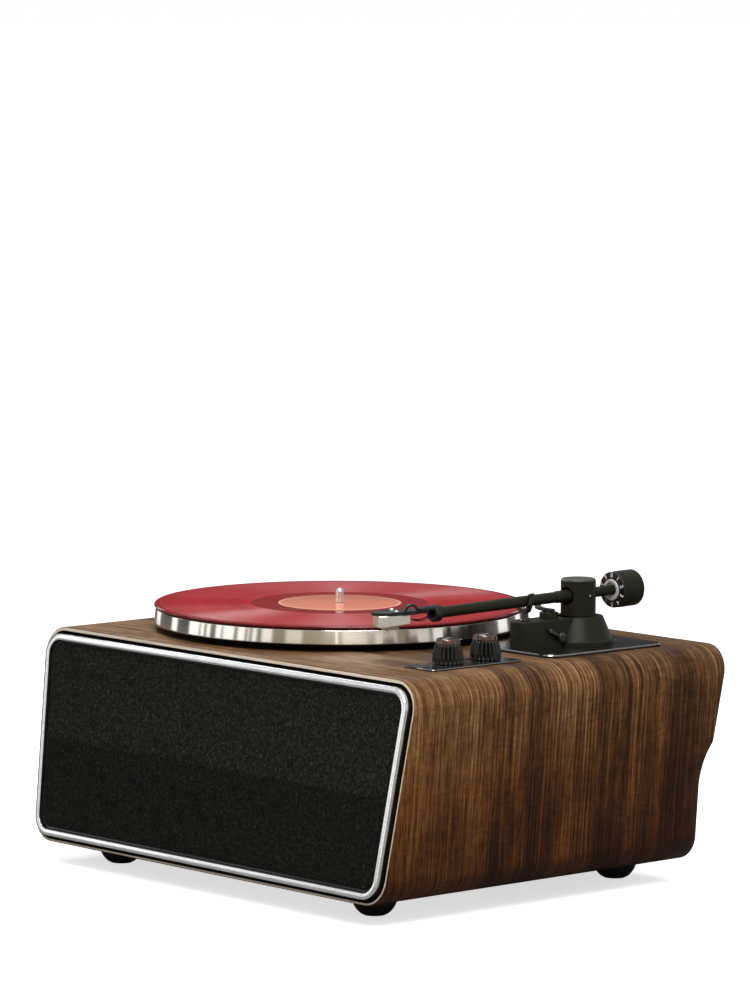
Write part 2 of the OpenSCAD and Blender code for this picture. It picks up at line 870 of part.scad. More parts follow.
module motor() {
    color("gray") at_motor() difference() {
        union() {
            rod(motor_r, motor_top_z - motor_h, motor_top_z - motor_flange_t);
            rod(motor_flange_r, motor_top_z - motor_flange_t, motor_top_z);
            rod(motor_boss_r, motor_top_z, motor_top_z + motor_boss_h);
        }
        rod(motor_shaft_r + run_gap, motor_top_z - motor_h / 2, motor_top_z + motor_boss_h + over);
    }
}

module motor_pulley() {
    color("gold") at_motor() {
        rod(motor_shaft_r, motor_top_z - motor_h / 2 + 2, belt_z);
        rod(pulley_r, belt_z - pulley_side, belt_z + belt_w + pulley_side);
        rod(pulley_lip_r, belt_z - pulley_side - pulley_lip_t, belt_z - pulley_side);
        rod(pulley_lip_r, belt_z + belt_w + pulley_side, belt_z + belt_w + pulley_side + pulley_lip_t);
    }
}

// Outline of the belt's loop round the platter's boss and the pulley
module belt_loop(gap) {
    hull() {
        translate([platter_x, platter_y]) circle(boss_r + gap, $fn = 120);
        translate([motor_x, motor_y]) circle(pulley_r + gap, $fn = 48);
    }
}

module drive_belt() {
    color("black") translate([0, 0, belt_z]) linear_extrude(belt_w) difference() {
        belt_loop(belt_slack + belt_t);
        belt_loop(belt_slack);
    }
}

// Controls

module control_plate() {
    color("black") difference() {
        translate([control_x, control_y, top_z]) linear_extrude(control_t)
            rounded_rect(control_w, control_l, control_corner_r);
        for (y = knob_ys) translate([knob_x, y, 0])
            rod(neck_r + seat_gap, top_z - over, control_top_z + over);
        for (p = control_screw_places) translate(p) {
            rod(small_screw_r + seat_gap, -control_t - over, over);
            rod(small_head_r + seat_gap, -small_head_h / 2, over);
        }
    }
}

module control_pot(i) {
    color("gray") translate([knob_x, knob_ys[i], 0]) difference() {
        union() {
            box(-pot_half, pot_half, -pot_half, pot_half, motor_top_z - pot_h, motor_top_z);
            rod(neck_r, motor_top_z, control_top_z);
        }
        rod(stem_r + run_gap, motor_top_z - pot_h + 2, control_top_z + over);
    }
}

module control_shaft(i) {
    color("lightgray") translate([knob_x, knob_ys[i], 0])
        rod(stem_r, motor_top_z - pot_h + 2, knob_low_z + knob_bore_h - 0.5);
}

// A grooved knob that draws in to a smooth bright crown
module control_knob(i) {
    crown = 4;
    crown_r = knob_r - 2.3;
    groove_r = 0.9;
    groove_lean = atan(1.2 / (knob_h - crown));
    color("black") translate([knob_x, knob_ys[i], knob_low_z]) difference() {
        rotate_extrude() polygon([[0, 0], [knob_r, 0], [knob_r, knob_h * 0.15], [knob_r - 0.5, knob_h * 0.45],
            [knob_r - 1.2, knob_h - crown - 1], [crown_r + 0.3, knob_h - crown], [crown_r, knob_h - 1],
            [crown_r - 1, knob_h], [0, knob_h]]);
        rod(stem_r + seat_gap, -over, knob_bore_h);
        for (k = [0 : knob_grooves - 1]) rotate(k * 360 / knob_grooves)
            translate([knob_r + groove_r / 3, 0, 0]) rotate([0, -groove_lean, 0])
                rod(groove_r, -over, knob_h - crown - 1);
    }
}

module volume_pot() { control_pot(0); }
module selector_pot() { control_pot(1); }
module volume_shaft() { control_shaft(0); }
module selector_shaft() { control_shaft(1); }
module volume_knob() { control_knob(0); }
module selector_knob() { control_knob(1); }

// Arm base

module at_pivot() {
    translate([pivot_x, pivot_y, 0]) children();
}

module arm_plate() {
    color("black") difference() {
        translate([arm_plate_x, arm_plate_y, top_z]) linear_extrude(arm_plate_t)
            rounded_rect(arm_plate_w, arm_plate_l, arm_plate_r);
        at_pivot() rod(base_stem_r + seat_gap, top_z - over, arm_plate_top_z + over);
        for (p = arm_screw_places) translate(p) {
            rod(small_screw_r + seat_gap, -arm_plate_t - over, over);
            rod(small_head_r + seat_gap, -small_head_h / 2, over);
        }
    }
}

module arm_base() {
    color("darkslategray") at_pivot() difference() {
        union() {
            rod(base_foot_r, arm_plate_top_z, arm_plate_top_z + base_foot_h);
            translate([0, 0, arm_plate_top_z + base_foot_h])
                cylinder(r1 = cone_low_r, r2 = cone_top_r, h = base_h - base_foot_h);
            box(-block_half_w, block_half_w, -rest_reach, 0, arm_plate_top_z, base_top_z);
            translate([0, -rest_reach, 0]) rod(block_half_w, arm_plate_top_z, base_top_z);
            rod(base_stem_r, base_stem_low_z, arm_plate_top_z);
        }
        rod(pivot_bush_r + seat_gap, base_stem_low_z - over, base_top_z + over);
        translate([0, -lifter_reach, 0])
            rod(lifter_guide_r + seat_gap, base_top_z - lifter_guide_depth, base_top_z + over);
        translate([0, -cue_reach, cue_z])
            rod_x(cue_pin_r + run_gap, cue_x - cue_pin_l - 0.3, block_half_w + over);
    }
}

module pivot_bush() {
    color("peru") at_pivot() pipe(pivot_bush_r, pivot_shaft_r + run_gap, base_stem_low_z, housing_low_z);
}

// Rest for the parked arm: a tall outer ear and a low inner lip
module arm_rest() {
    inner = tube_r + ear_gap;
    color("black") at_pivot() translate([0, -rest_reach, 0]) {
        rod(rest_post_r, base_top_z, rest_floor_z - rest_floor_t / 2);
        box(-inner - ear_t, inner + ear_t, -rest_half_l, rest_half_l,
            rest_floor_z - rest_floor_t, rest_floor_z);
        box(inner, inner + ear_t, -rest_half_l, rest_half_l, rest_floor_z, rest_z + ear_rise);
    }
}

module lifter_guide() {
    color("black") at_pivot() translate([0, -lifter_reach, 0]) pipe(lifter_guide_r, lifter_stem_r + run_gap,
        base_top_z - lifter_guide_depth, base_top_z + lifter_guide_rise);
}

module lifter_bar() {
    inner = lifter_reach - lifter_w / 2;
    color("black") at_pivot() {
        translate([0, 0, lifter_low_z]) rotate(-90 - lifter_sweep)
            rotate_extrude(angle = lifter_sweep + lifter_overlap)
                translate([inner, 0]) square([lifter_w, lifter_t]);
        translate([0, -lifter_reach, 0])
            rod(lifter_stem_r, base_top_z - lifter_guide_depth + 2, lifter_low_z + lifter_t / 2);
    }
}

module cue_lever() {
    color("black") at_pivot() translate([cue_x, -cue_reach, cue_z]) {
        rod_x(cue_pin_r, -cue_pin_l, 0);
        rod_x(cue_hub_r, 0, cue_hub_t);
        rotate([-cue_angle, 0, 0]) {
            box(0.5, cue_hub_t - 0.5, -cue_l, 0, -1.3, 1.3);
            translate([cue_hub_t / 2, -cue_l, 0]) rod(cue_hub_t / 2, -1.5, 2);
        }
    }
}

// Arm

module on_arm() {
    translate([pivot_x, pivot_y, pivot_z]) rotate([arm_tilt, 0, 0]) children();
}

module pivot_housing() {
    color("darkslategray") difference() {
        at_pivot() rod(housing_r, housing_low_z, housing_top_z);
        on_arm() rod_y(arm_hole_r, -far, far);
        translate([pivot_x, pivot_y, pivot_z]) {
            rod_x(trunnion_r + trunnion_room, -trunnion_half - trunnion_room, trunnion_half + trunnion_room);
            rod_x(screw_r + seat_gap, -far, far);
        }
        at_pivot() rod(pivot_shaft_r + seat_gap, housing_low_z - over, housing_low_z + 6);
    }
}

module pivot_cap() {
    color("gray") at_pivot() rod(housing_r - 0.6, housing_top_z, housing_top_z + cap_t);
}

module pivot_shaft() {
    color("lightgray") at_pivot() pipe(pivot_shaft_r, 2.5, base_stem_low_z, housing_low_z + 6);
}

module pivot_screws() {
    color("silver") translate([pivot_x, pivot_y, pivot_z]) for (side = [0, 180]) rotate(side) {
        rod_x(screw_r, trunnion_half + trunnion_room / 2, housing_r + 0.2);
        rod_x(point_r, trunnion_half - 3, trunnion_half + trunnion_room / 2);
    }
}

module arm_tube() {
    color("darkslategray") on_arm() difference() {
        union() {
            rod_y(tube_r, -tube_front, tube_rear);
            rod_y(tube_sleeve_r, -tube_sleeve_l, tube_sleeve_l / 2);
            rotate([-arm_tilt, 0, 0]) rod_x(trunnion_r, -trunnion_half, trunnion_half);
        }
        rod_y(tube_r - tube_wall, -tube_front - over, tube_rear + over);
        rotate([-arm_tilt, 0, 0]) rod_x(point_r + run_gap, -trunnion_half - over, trunnion_half + over);
    }
}

// Frame of the headshell, turned in at the bend: the tip lies towards local -Y
module on_shell() {
    on_arm() translate([0, bend_y, 0]) rotate(-shell_angle) children();
}

module headshell() {
    color("black") {
        on_arm() difference() {
            union() {
                rod_y(collar_r, -tube_front - collar_l, -tube_front);
                box(-neck_half_w, neck_half_w, bend_y - neck_lap, -tube_front, neck_low, neck_low + neck_t);
            }
            rod_y(tube_r - tube_wall, bend_y - 2 * neck_lap, -tube_front + over);
        }
        on_shell() translate([0, 0, shell_low]) linear_extrude(shell_t)
            polygon([[-shell_neck_half_w, 0], [shell_neck_half_w, 0], [shell_half_w, -shell_shoulder],
                [shell_half_w, shell_nose - shell_l], [shell_tip_half_w, -shell_l],
                [-shell_tip_half_w, -shell_l],
                [-shell_half_w, shell_nose - shell_l], [-shell_half_w, -shell_shoulder]]);
    }
}

// Curled tab beside the headshell: its hook rises in front and curls to the rear
module finger_lift() {
    lift_r = 5.5;
    lift_t = 1.3;
    lift_w = 2.6;
    lift_rise = 4;
    color("black") on_shell() translate([shell_half_w, cartridge_y, shell_low]) difference() {
        translate([0, 0, lift_rise]) rotate([0, 90, 0]) pipe(lift_r, lift_r - lift_t, 0, lift_w);
        box(-over, lift_w + over, 0, 2 * lift_r, -2 * lift_r, lift_rise + 1.5);
        box(-over, lift_w + over, -2 * lift_r, 2 * lift_r, -2 * lift_r, 0.3);
    }
}

module cartridge() {
    color("wheat") on_shell() translate([-cartridge_w / 2, 0, 0]) along_x(0, cartridge_w)
        polygon([[cartridge_y, shell_low], [cartridge_y, cartridge_low + cartridge_nose],
            [cartridge_y - cartridge_l * 0.8, cartridge_low],
            [cartridge_y - cartridge_l, cartridge_low + cartridge_nose / 4],
            [cartridge_y - cartridge_l, shell_low]]);
}

module stylus() {
    block_rear = cartridge_y - cartridge_l * 0.3;
    block_low = cartridge_low - stylus_block_h;
    color("ivory") on_shell() {
        box(-stylus_half_w, stylus_half_w, block_rear - stylus_block_l, block_rear, block_low, cartridge_low);
        translate([0, stylus_y, tip_z])
            cylinder(r1 = tip_r / 2, r2 = tip_r * 2, h = block_low - tip_z + stylus_block_h / 2);
    }
}

module lead_wires() {
    start_y = cartridge_y + 1;
    end_y = -2;
    sag = 3;
    color("firebrick") on_shell() for (i = [0 : 3]) {
        points = [for (t = [0 : 0.25 : 1])
            [wire_rows[i] * (1 - 0.6 * t), start_y + (end_y - start_y) * t,
             -3 + 1.5 * t - sag * sin(180 * t)]];
        for (k = [0 : 3]) hull() {
            translate(points[k]) sphere(wire_r, $fn = 8);
            translate(points[k + 1]) sphere(wire_r, $fn = 8);
        }
    }
}

// Counterweight

module weight_sleeve() {
    color("silver") on_arm() difference() {
        union() {
            rod_y(sleeve_r, sleeve_front, weight_rear - weight_recess + 1);
            rod_y(sleeve_flange_r, sleeve_front, sleeve_front + sleeve_flange_t);
        }
        rod_y(tube_r + run_gap, sleeve_front - over, weight_rear + over);
    }
}

module counterweight() {
    bevel = 1.2;
    color("darkslategray") on_arm() rotate([-90, 0, 0]) rotate_extrude()
        polygon([[sleeve_r + run_gap, dial_reach], [snout_r, dial_reach], [snout_r, weight_front],
            [weight_r, weight_front], [weight_r, weight_rear - bevel], [weight_r - bevel, weight_rear],
            [weight_recess_r, weight_rear], [weight_recess_r, weight_rear - weight_recess],
            [sleeve_r + run_gap, weight_rear - weight_recess]]);
}

module force_dial() {
    color("black") on_arm() difference() {
        rod_y(weight_r - 0.2, dial_reach, dial_reach + dial_t);
        rod_y(snout_r + run_gap, dial_reach - over, dial_reach + dial_t + over);
    }
}

// Electronics and sockets

module board_posts() {
    color("gold") for (sx = [-1, 1], sy = [-1, 1])
        translate([sx * (board_w / 2 - post_inset), pcb_y + sy * (board_d / 2 - post_inset), 0])
            rod(post_r, floor_z, pcb_z);
}

module amp_board() {
    sink_w = 50;
    sink_d = 18;
    sink_h = 28;
    can_r = 8;
    can_h = 22;
    color("darkgreen") translate([0, pcb_y, pcb_z]) {
        box(-board_w / 2, board_w / 2, -board_d / 2, board_d / 2, 0, pcb_t);
        box(-sink_w / 2, sink_w / 2, board_d / 2 - sink_d - 4, board_d / 2 - 4, pcb_t, pcb_t + sink_h);
        for (s = [-1, 1]) translate([s * board_w / 4, -board_d / 4, 0]) rod(can_r, pcb_t, pcb_t + can_h);
    }
}

module dc_inlet() {
    color("black") translate([0, socket_y, socket_z]) {
        difference() {
            union() {
                rod_y(inlet_r, -inlet_l, 0);
                rod_y(inlet_ring_r, 0, inlet_ring_t);
            }
            rod_y(inlet_bore_r, -inlet_l + 3, inlet_ring_t + over);
        }
        rod_y(inlet_pin_r, -inlet_l + 2, -1);
    }
}

module phono_sockets() {
    color("black") translate([-socket_x, socket_y, socket_z]) difference() {
        union() {
            along_y(0, phono_plate_t) rounded_rect(2 * phono_pitch, phono_plate_h, 3);
            for (s = [-1, 1]) translate([s * phono_pitch / 2, 0, 0])
                rod_y(phono_r, -back_t - 4, phono_plate_t + phono_l);
        }
        for (s = [-1, 1]) translate([s * phono_pitch / 2, 0, 0])
            rod_y(1.6, 0, phono_plate_t + phono_l + over);
    }
}

module at_switch() {
    translate([socket_x, socket_y, socket_z]) children();
}

module switch_frame() {
    room_w = switch_w / 2 - switch_wall;
    room_h = switch_h / 2 - switch_wall;
    color("black") at_switch() difference() {
        union() {
            box(-switch_w / 2, switch_w / 2, -switch_depth, 0, -switch_h / 2, switch_h / 2);
            box(-switch_w / 2 - switch_rim, switch_w / 2 + switch_rim, 0, switch_rim_t,
                -switch_h / 2 - switch_rim, switch_h / 2 + switch_rim);
        }
        box(-room_w, room_w, -switch_depth + 2, switch_rim_t + over, -room_h, room_h);
        rod_x(rocker_pin_r + run_gap, -room_w - 1, room_w + 1);
    }
}

module switch_rocker() {
    half_w = switch_w / 2 - switch_wall - pass_gap;
    half_h = switch_h / 2 - switch_wall - 1.2;
    color("dimgray") at_switch() {
        rotate([rocker_tilt, 0, 0]) along_x(-half_w, half_w)
            polygon([[-rocker_half_d, -half_h * 0.6], [rocker_half_d, -half_h], [rocker_half_d - 0.8, 0],
                [rocker_half_d, half_h], [-rocker_half_d, half_h * 0.6]]);
        rod_x(rocker_pin_r, -half_w - 1, half_w + 1);
    }
}

// Feet and fasteners

module feet() {
    dome_drop = sqrt(foot_r * foot_r - foot_r * foot_r / 4);
    color("black") at_feet() difference() {
        intersection() {
            translate([0, 0, dome_drop]) sphere(foot_r);
            rod(foot_r + over, 0, foot_h);
        }
        rod(foot_head_r + 0.4, -over, foot_recess);
        rod(foot_screw_r + seat_gap, 0, foot_h + over);
    }
}

module foot_screws() {
    color("silver") at_feet() {
        rod(foot_head_r, foot_recess - foot_head_h, foot_recess);
        rod(foot_screw_r, foot_recess, foot_h + foot_bite);
    }
}

module back_screws() {
    color("black") at_back_screws() {
        rod_y(back_head_r, -back_head_h, -0.2);
        rod_y(small_screw_r, -back_head_h - back_screw_l, -back_head_h);
    }
}

module plate_screws() {
    color("black") at_plate_screws() {
        rod(small_head_r, -small_head_h / 2, small_head_h / 2);
        rod(small_screw_r, -plate_screw_l, -small_head_h / 2);
    }
}

cabinet_top();
cabinet_bottom();
cabinet_left();
cabinet_right();
back_panel();
front_baffle();
trim_ring();
grille_frame();
grille_cloth();
speaker_frame_left();
speaker_frame_right();
speaker_cone_left();
speaker_cone_right();
bearing_housing();
bearing_bush();
motor();
motor_pulley();
drive_belt();
amp_board();
board_posts();
volume_pot();
selector_pot();
control_plate();
arm_plate();
arm_base();
arm_rest();
pivot_bush();
lifter_guide();
dc_inlet();
phono_sockets();
switch_frame();
switch_rocker();
feet();
foot_screws();
back_screws();
plate_screws();
platter();
slip_mat();
spindle();
record();
record_label();
pivot_housing();
pivot_cap();
pivot_shaft();
pivot_screws();
arm_tube();
headshell();
finger_lift();
cartridge();
stylus();
lead_wires();
weight_sleeve();
counterweight();
force_dial();
cue_lever();
lifter_bar();
volume_knob();
volume_shaft();
selector_knob();
selector_shaft();
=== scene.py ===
"""Looks of a table-top record player: a walnut sleeve with a cloth grille, a polished
platter with a red record, fluted knobs and a grey-black tonearm.

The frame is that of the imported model: X to the right, Y to the back, Z up. Shapes are built in
millimetres, and put() brings each to metres. Materials and the studio are in metres."""
from math import atan2, cos, pi, radians, sin, sqrt, tan

import bpy
from mathutils import Matrix, Vector


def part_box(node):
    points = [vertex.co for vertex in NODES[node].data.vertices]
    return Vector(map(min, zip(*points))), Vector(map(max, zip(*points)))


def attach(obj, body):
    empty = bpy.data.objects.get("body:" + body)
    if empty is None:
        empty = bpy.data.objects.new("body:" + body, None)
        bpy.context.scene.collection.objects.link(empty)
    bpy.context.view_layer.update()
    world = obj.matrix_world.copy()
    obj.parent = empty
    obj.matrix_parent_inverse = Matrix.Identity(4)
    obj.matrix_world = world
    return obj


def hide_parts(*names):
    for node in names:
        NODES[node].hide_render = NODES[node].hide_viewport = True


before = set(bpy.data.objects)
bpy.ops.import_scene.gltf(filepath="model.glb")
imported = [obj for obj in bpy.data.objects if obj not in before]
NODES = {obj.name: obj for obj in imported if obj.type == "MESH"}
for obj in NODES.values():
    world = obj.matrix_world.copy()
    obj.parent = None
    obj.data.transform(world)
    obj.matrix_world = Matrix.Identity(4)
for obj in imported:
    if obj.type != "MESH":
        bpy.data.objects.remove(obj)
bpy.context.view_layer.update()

MM = 0.001
X, Y, Z = Vector((1, 0, 0)), Vector((0, 1, 0)), Vector((0, 0, 1))


# Boxes of the CAD nodes, in millimetres
def low(node):
    return Vector(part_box(node)[0]) / MM


def high(node):
    return Vector(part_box(node)[1]) / MM


def middle(node):
    return (low(node) + high(node)) / 2


def extent(node):
    return high(node) - low(node)


def heights(node):
    return low(node).z, high(node).z


# Driving dimensions of the cabinet
CABINET_W = 452
TOP_DEPTH = 332
LEAN = radians(8.2)
TAPER = radians(4.4)
CORNER_R = 22
INNER_CORNER_R = 4
BOARD_T = 12
LIP_T = 3.1
LIP_SIDE = 1.9
REBATE_D = 14
BACK_LIP = 5
BACK_REBATE_D = 10
HOLLOW_TOP = 95.5
HOLLOW_LOW = 60
HOLLOW_DEPTH = 13
TRIM_INSET = 5.2
TRIM_W = 4.8
TRIM_STAND = 4.8
TRIM_BACK = 5

foot_h = low("cabinet_bottom").z
top_z = high("cabinet_top").z
rear_top_y = high("cabinet_top").y
front_top_y = rear_top_y - TOP_DEPTH

# Height of the rib behind the cloth, of the painted shadow along the platter's foot, and radii on the
# record
RIB_Z = (top_z + foot_h) / 2 - 3
PAINTED_SHADOW_TOP = low("platter").z + 1.7
RECORD_R = extent("record").x / 2
GROOVES_OUT = 146
GROOVES_IN = 72
LABEL_RIM_R = 47.5
PRESS_RING_R = 17

# Driving dimensions of the arm
ARM_TILT = radians(1)
SHELL_ANGLE = radians(25)
TUBE_FRONT = 150
TUBE_REAR = 56
BEND = 160
REST_REACH = 58
LEAD_PLACES = (-4.5, -1.5, 1.5, 4.5)

spindle = middle("spindle")
pivot = Vector((middle("pivot_cap").x, middle("pivot_cap").y, middle("pivot_screws").z))
TO_ARM = Matrix.Translation(pivot) @ Matrix.Rotation(ARM_TILT, 4, "X")
TO_SHELL = TO_ARM @ Matrix.Translation(-BEND * Y) @ Matrix.Rotation(-SHELL_ANGLE, 4, "Z")
LATHE_TO_Y = Matrix.Rotation(-pi / 2, 4, "X")
LATHE_TO_X = Matrix.Rotation(pi / 2, 4, "Y")


# Mesh building


def skin(loops, ring=False, caps=True):
    """Mesh through closed loops of equal length. ring joins the last loop to the first."""
    count = len(loops[0])
    verts = [v for loop in loops for v in loop]
    faces = []
    for k in range(len(loops) if ring else len(loops) - 1):
        a, b = k * count, (k + 1) % len(loops) * count
        faces += [(a + i, a + (i + 1) % count, b + (i + 1) % count, b + i) for i in range(count)]
    if caps and not ring:
        faces.append(tuple(reversed(range(count))))
        faces.append(tuple(range(len(verts) - count, len(verts))))
    mesh = bpy.data.meshes.new("shape")
    mesh.from_pydata(verts, [], faces)
    mesh.validate()
    return mesh


def soften(points, closed=False, steps=5):
    """Polyline with its corners rounded: a point is (x, y) or (x, y, corner radius)."""
    nearly_straight = 1.56
    out = []
    count = len(points)
    for i, (x, y, *rest) in enumerate(points):
        p = Vector((x, y))
        radius = rest[0] if rest else 0
        if not radius or (not closed and i in (0, count - 1)):
            out.append(p)
            continue
        a = (Vector(points[i - 1][:2]) - p).normalized()
        b = (Vector(points[(i + 1) % count][:2]) - p).normalized()
        half = a.angle(b) / 2
        if half > nearly_straight:
            out.append(p)
            continue
        centre = p + (a + b).normalized() * radius / sin(half)
        start = p + a * radius / tan(half) - centre
        end = p + b * radius / tan(half) - centre
        turn = start.angle(end)
        for k in range(steps + 1):
            t = k / steps
            near, far = sin((1 - t) * turn), sin(t * turn)
            out.append(centre + (start * near + end * far) / sin(turn))
    return out


def polar(r, angle, z=0):
    """Point at a distance from the Z axis, turned from X by an angle."""
    return Vector((r * cos(angle), r * sin(angle), z))


def circle(r, z, count):
    turn = 2 * pi / count
    return [polar(r, i * turn, z) for i in range(count)]


def lathe(profile, count=96, ring=False):
    """Turned solid about Z through (radius, height) points, from the bottom up or round a ring."""
    return skin([circle(p[0], p[1], count) for p in soften(profile, closed=ring)], ring=ring)


def slab(outline, profile):
    """Solid through a plan outline that is drawn in by each (inset, height) of the profile."""
    return skin([[Vector((p[0], p[1], h)) for p in outline(d)] for d, h in soften(profile)])


def rounded_rect(w, l, r):
    def outline(inset):
        x, y, c = w / 2 - inset, l / 2 - inset, max(r - inset, 0.2)
        return soften([(x, -y, c), (x, y, c), (-x, y, c), (-x, -y, c)], closed=True, steps=10)
    return outline


def convex(points, r):
    """Outline of a convex plan with rounded corners, given counter-clockwise."""
    def outline(inset):
        drawn = []
        for i, p in enumerate(points):
            p, before, after = Vector(p), Vector(points[i - 1]), Vector(points[(i + 1) % len(points)])
            a, b = (p - before).normalized(), (after - p).normalized()
            na, nb = Vector((-a.y, a.x)), Vector((-b.y, b.x))
            drawn.append((*(p + (na + nb) * inset / (1 + na.dot(nb))), max(r - inset, 0.15)))
        return soften(drawn, closed=True, steps=6)
    return outline


def tube(points, r, count=10):
    """Round rod along a smooth path."""
    loops = []
    side = None
    turn = 2 * pi / count
    for i, p in enumerate(points):
        along = (points[min(i + 1, len(points) - 1)] - points[max(i - 1, 0)]).normalized()
        side = (side or along.orthogonal()).cross(along).cross(along).normalized()
        other = along.cross(side)
        loops.append([p + r * (side * cos(k * turn) + other * sin(k * turn)) for k in range(count)])
    return skin(loops)


def moved(mesh, matrix):
    mesh.transform(matrix)
    return mesh


def upright(place, z=0):
    """Matrix that stands a shape, made about Z, over the x and y of a place."""
    return Matrix.Translation((place.x, place.y, z))


def joined(meshes):
    """One mesh out of several, with a material slot for each."""
    verts, faces, slots = [], [], []
    for slot, mesh in enumerate(meshes):
        base = len(verts)
        verts += [v.co.copy() for v in mesh.vertices]
        faces += [[base + i for i in f.vertices] for f in mesh.polygons]
        slots += [slot] * len(mesh.polygons)
    mesh = bpy.data.meshes.new("shape")
    mesh.from_pydata(verts, [], faces)
    for f, slot in zip(mesh.polygons, slots):
        f.material_index = slot
    return mesh


def add(name, data):
    """A new object in the scene."""
    obj = bpy.data.objects.new(name, data)
    bpy.context.scene.collection.objects.link(obj)
    return obj


def put(name, mesh, finish, body, slot, *replaced, at=None, sharp=35):
    """A piece of the object: placed, in metres, shaded, riding on its body, standing for CAD nodes."""
    if at is not None:
        mesh.transform(at)
    mesh.transform(Matrix.Scale(MM, 4))
    mesh.name = name
    for key in finish if isinstance(finish, list) else [finish]:
        mesh.materials.append(MAT[key])
    mesh.shade_smooth()
    mesh.set_sharp_from_angle(angle=radians(sharp))
    obj = add(name, mesh)
    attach(obj, body)
    if replaced:
        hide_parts(*replaced)
    return obj


def assemble(name, meshes, finish, body, slot, *replaced, **options):
    """A piece out of several meshes, with a finish for each or one for all."""
    if not isinstance(finish, list):
        finish = [finish] * len(meshes)
    return put(name, joined(meshes), finish, body, slot, *replaced, **options)


def turned(name, profile, finish, body, slot, *replaced, centre=spindle, count=192, ring=False):
    """Turned piece about an upright axis."""
    return put(name, lathe(profile, count, ring), finish, body, slot, *replaced, at=upright(centre))


def on_arm(name, profile, finish, body, slot, *replaced, count=64, ring=False):
    """Turned piece about the arm's axis: heights run to the rear of the pivot."""
    mesh = lathe(profile, count, ring)
    return put(name, mesh, finish, body, slot, *replaced, at=TO_ARM @ LATHE_TO_Y)


# Materials


def grey(value):
    return (value, value, value)


class Shader:
    """A material under construction."""

    def __init__(self, name, **sockets):
        self.material = bpy.data.materials.new(name)
        self.material.use_nodes = True
        self.tree = self.material.node_tree
        self.bsdf = self.tree.nodes["Principled BSDF"]
        for key, value in sockets.items():
            self.bsdf.inputs[key.replace("_", " ")].default_value = value

    def node(self, kind, inputs=(), **settings):
        made = self.tree.nodes.new("ShaderNode" + kind)
        for key, value in settings.items():
            setattr(made, key, value)
        for key, value in dict(inputs).items():
            if isinstance(value, bpy.types.NodeSocket):
                self.tree.links.new(value, made.inputs[key])
            else:
                made.inputs[key].default_value = value
        return made

    def drive(self, socket, value):
        self.tree.links.new(value, self.bsdf.inputs[socket])

    def place(self):
        return self.node("TexCoord").outputs["Object"]

    def height(self, vector=None):
        return self.node("SeparateXYZ", {0: vector or self.place()}).outputs[2]

    def stretched(self, scale, vector=None, shift=(0, 0, 0)):
        inputs = {"Vector": vector or self.place(), "Scale": scale, "Location": shift}
        return self.node("Mapping", inputs).outputs[0]

    def noise(self, vector, scale, detail=3, rough=0.5, distort=0.0):
        inputs = {"Vector": vector, "Scale": scale, "Detail": detail}
        inputs.update({"Roughness": rough, "Distortion": distort})
        return self.node("TexNoise", inputs).outputs["Fac"]

    def math(self, operation, a, b=0.0, clamp=False):
        return self.node("Math", {0: a, 1: b}, operation=operation, use_clamp=clamp).outputs[0]

    def weigh(self, a, share_a, b, share_b):
        return self.math("ADD", self.math("MULTIPLY", a, share_a), self.math("MULTIPLY", b, share_b))

    def remap(self, value, low_in, high_in, low_out, high_out):
        inputs = {"Value": value, "From Min": low_in, "From Max": high_in}
        inputs.update({"To Min": low_out, "To Max": high_out})
        return self.node("MapRange", inputs).outputs[0]

    def vary(self, noise, least, most):
        """The usual values of a noise, spread over the given range."""
        return self.remap(noise, 0.3, 0.7, least, most)

    def ramp(self, value, *stops, interpolation="LINEAR"):
        made = self.node("ValToRGB", {"Fac": value})
        ramp = made.color_ramp
        ramp.interpolation = interpolation
        while len(ramp.elements) < len(stops):
            ramp.elements.new(0.5)
        for element, (position, colour) in zip(ramp.elements, stops):
            element.position = position
            element.color = (*colour, 1)
        return made.outputs["Color"]

    def steps(self, index, values):
        """The listed value at each whole index, from 0."""
        share = self.math("DIVIDE", self.math("ADD", index, 0.5), float(len(values)))
        stops = [(i / len(values), grey(value)) for i, value in enumerate(values)]
        return self.ramp(share, *stops, interpolation="CONSTANT")

    def mix(self, factor, a, b, blend="MIX"):
        inputs = {0: factor, 6: a, 7: b}
        return self.node("Mix", inputs, data_type="RGBA", blend_type=blend).outputs[2]

    def bump(self, height, strength, distance=0.1 * MM):
        made = self.node("Bump", {"Height": height, "Strength": strength, "Distance": distance})
        self.drive("Normal", made.outputs["Normal"])


class Sky(Shader):
    """The world's light under construction."""

    def __init__(self, name):
        self.world = bpy.data.worlds.new(name)
        self.world.use_nodes = True
        self.tree = self.world.node_tree
        self.bsdf = self.tree.nodes["Background"]


# Strips of veneer from the front to the back: tone, depth of ruled lines, and the flitch of each
LEAF_W = 37
LEAF_START = -182
LEAF_TONES = (0.62, 0.6, 0.58, 0.47, 0.44, 0.46, 0.36, 0.47, 0.38, 0.44)
LEAF_LINES = (0.04, 0.04, 0.06, 0.08, 0.18, 0.18, 0.09, 0.1, 0.06, 0.06)
LEAF_SEEDS = (0.0, 0.0, 0.0, 0.13, 0.27, 0.27, 0.41, 0.56, 0.7, 0.7)
SEED_SPREAD = 97.0


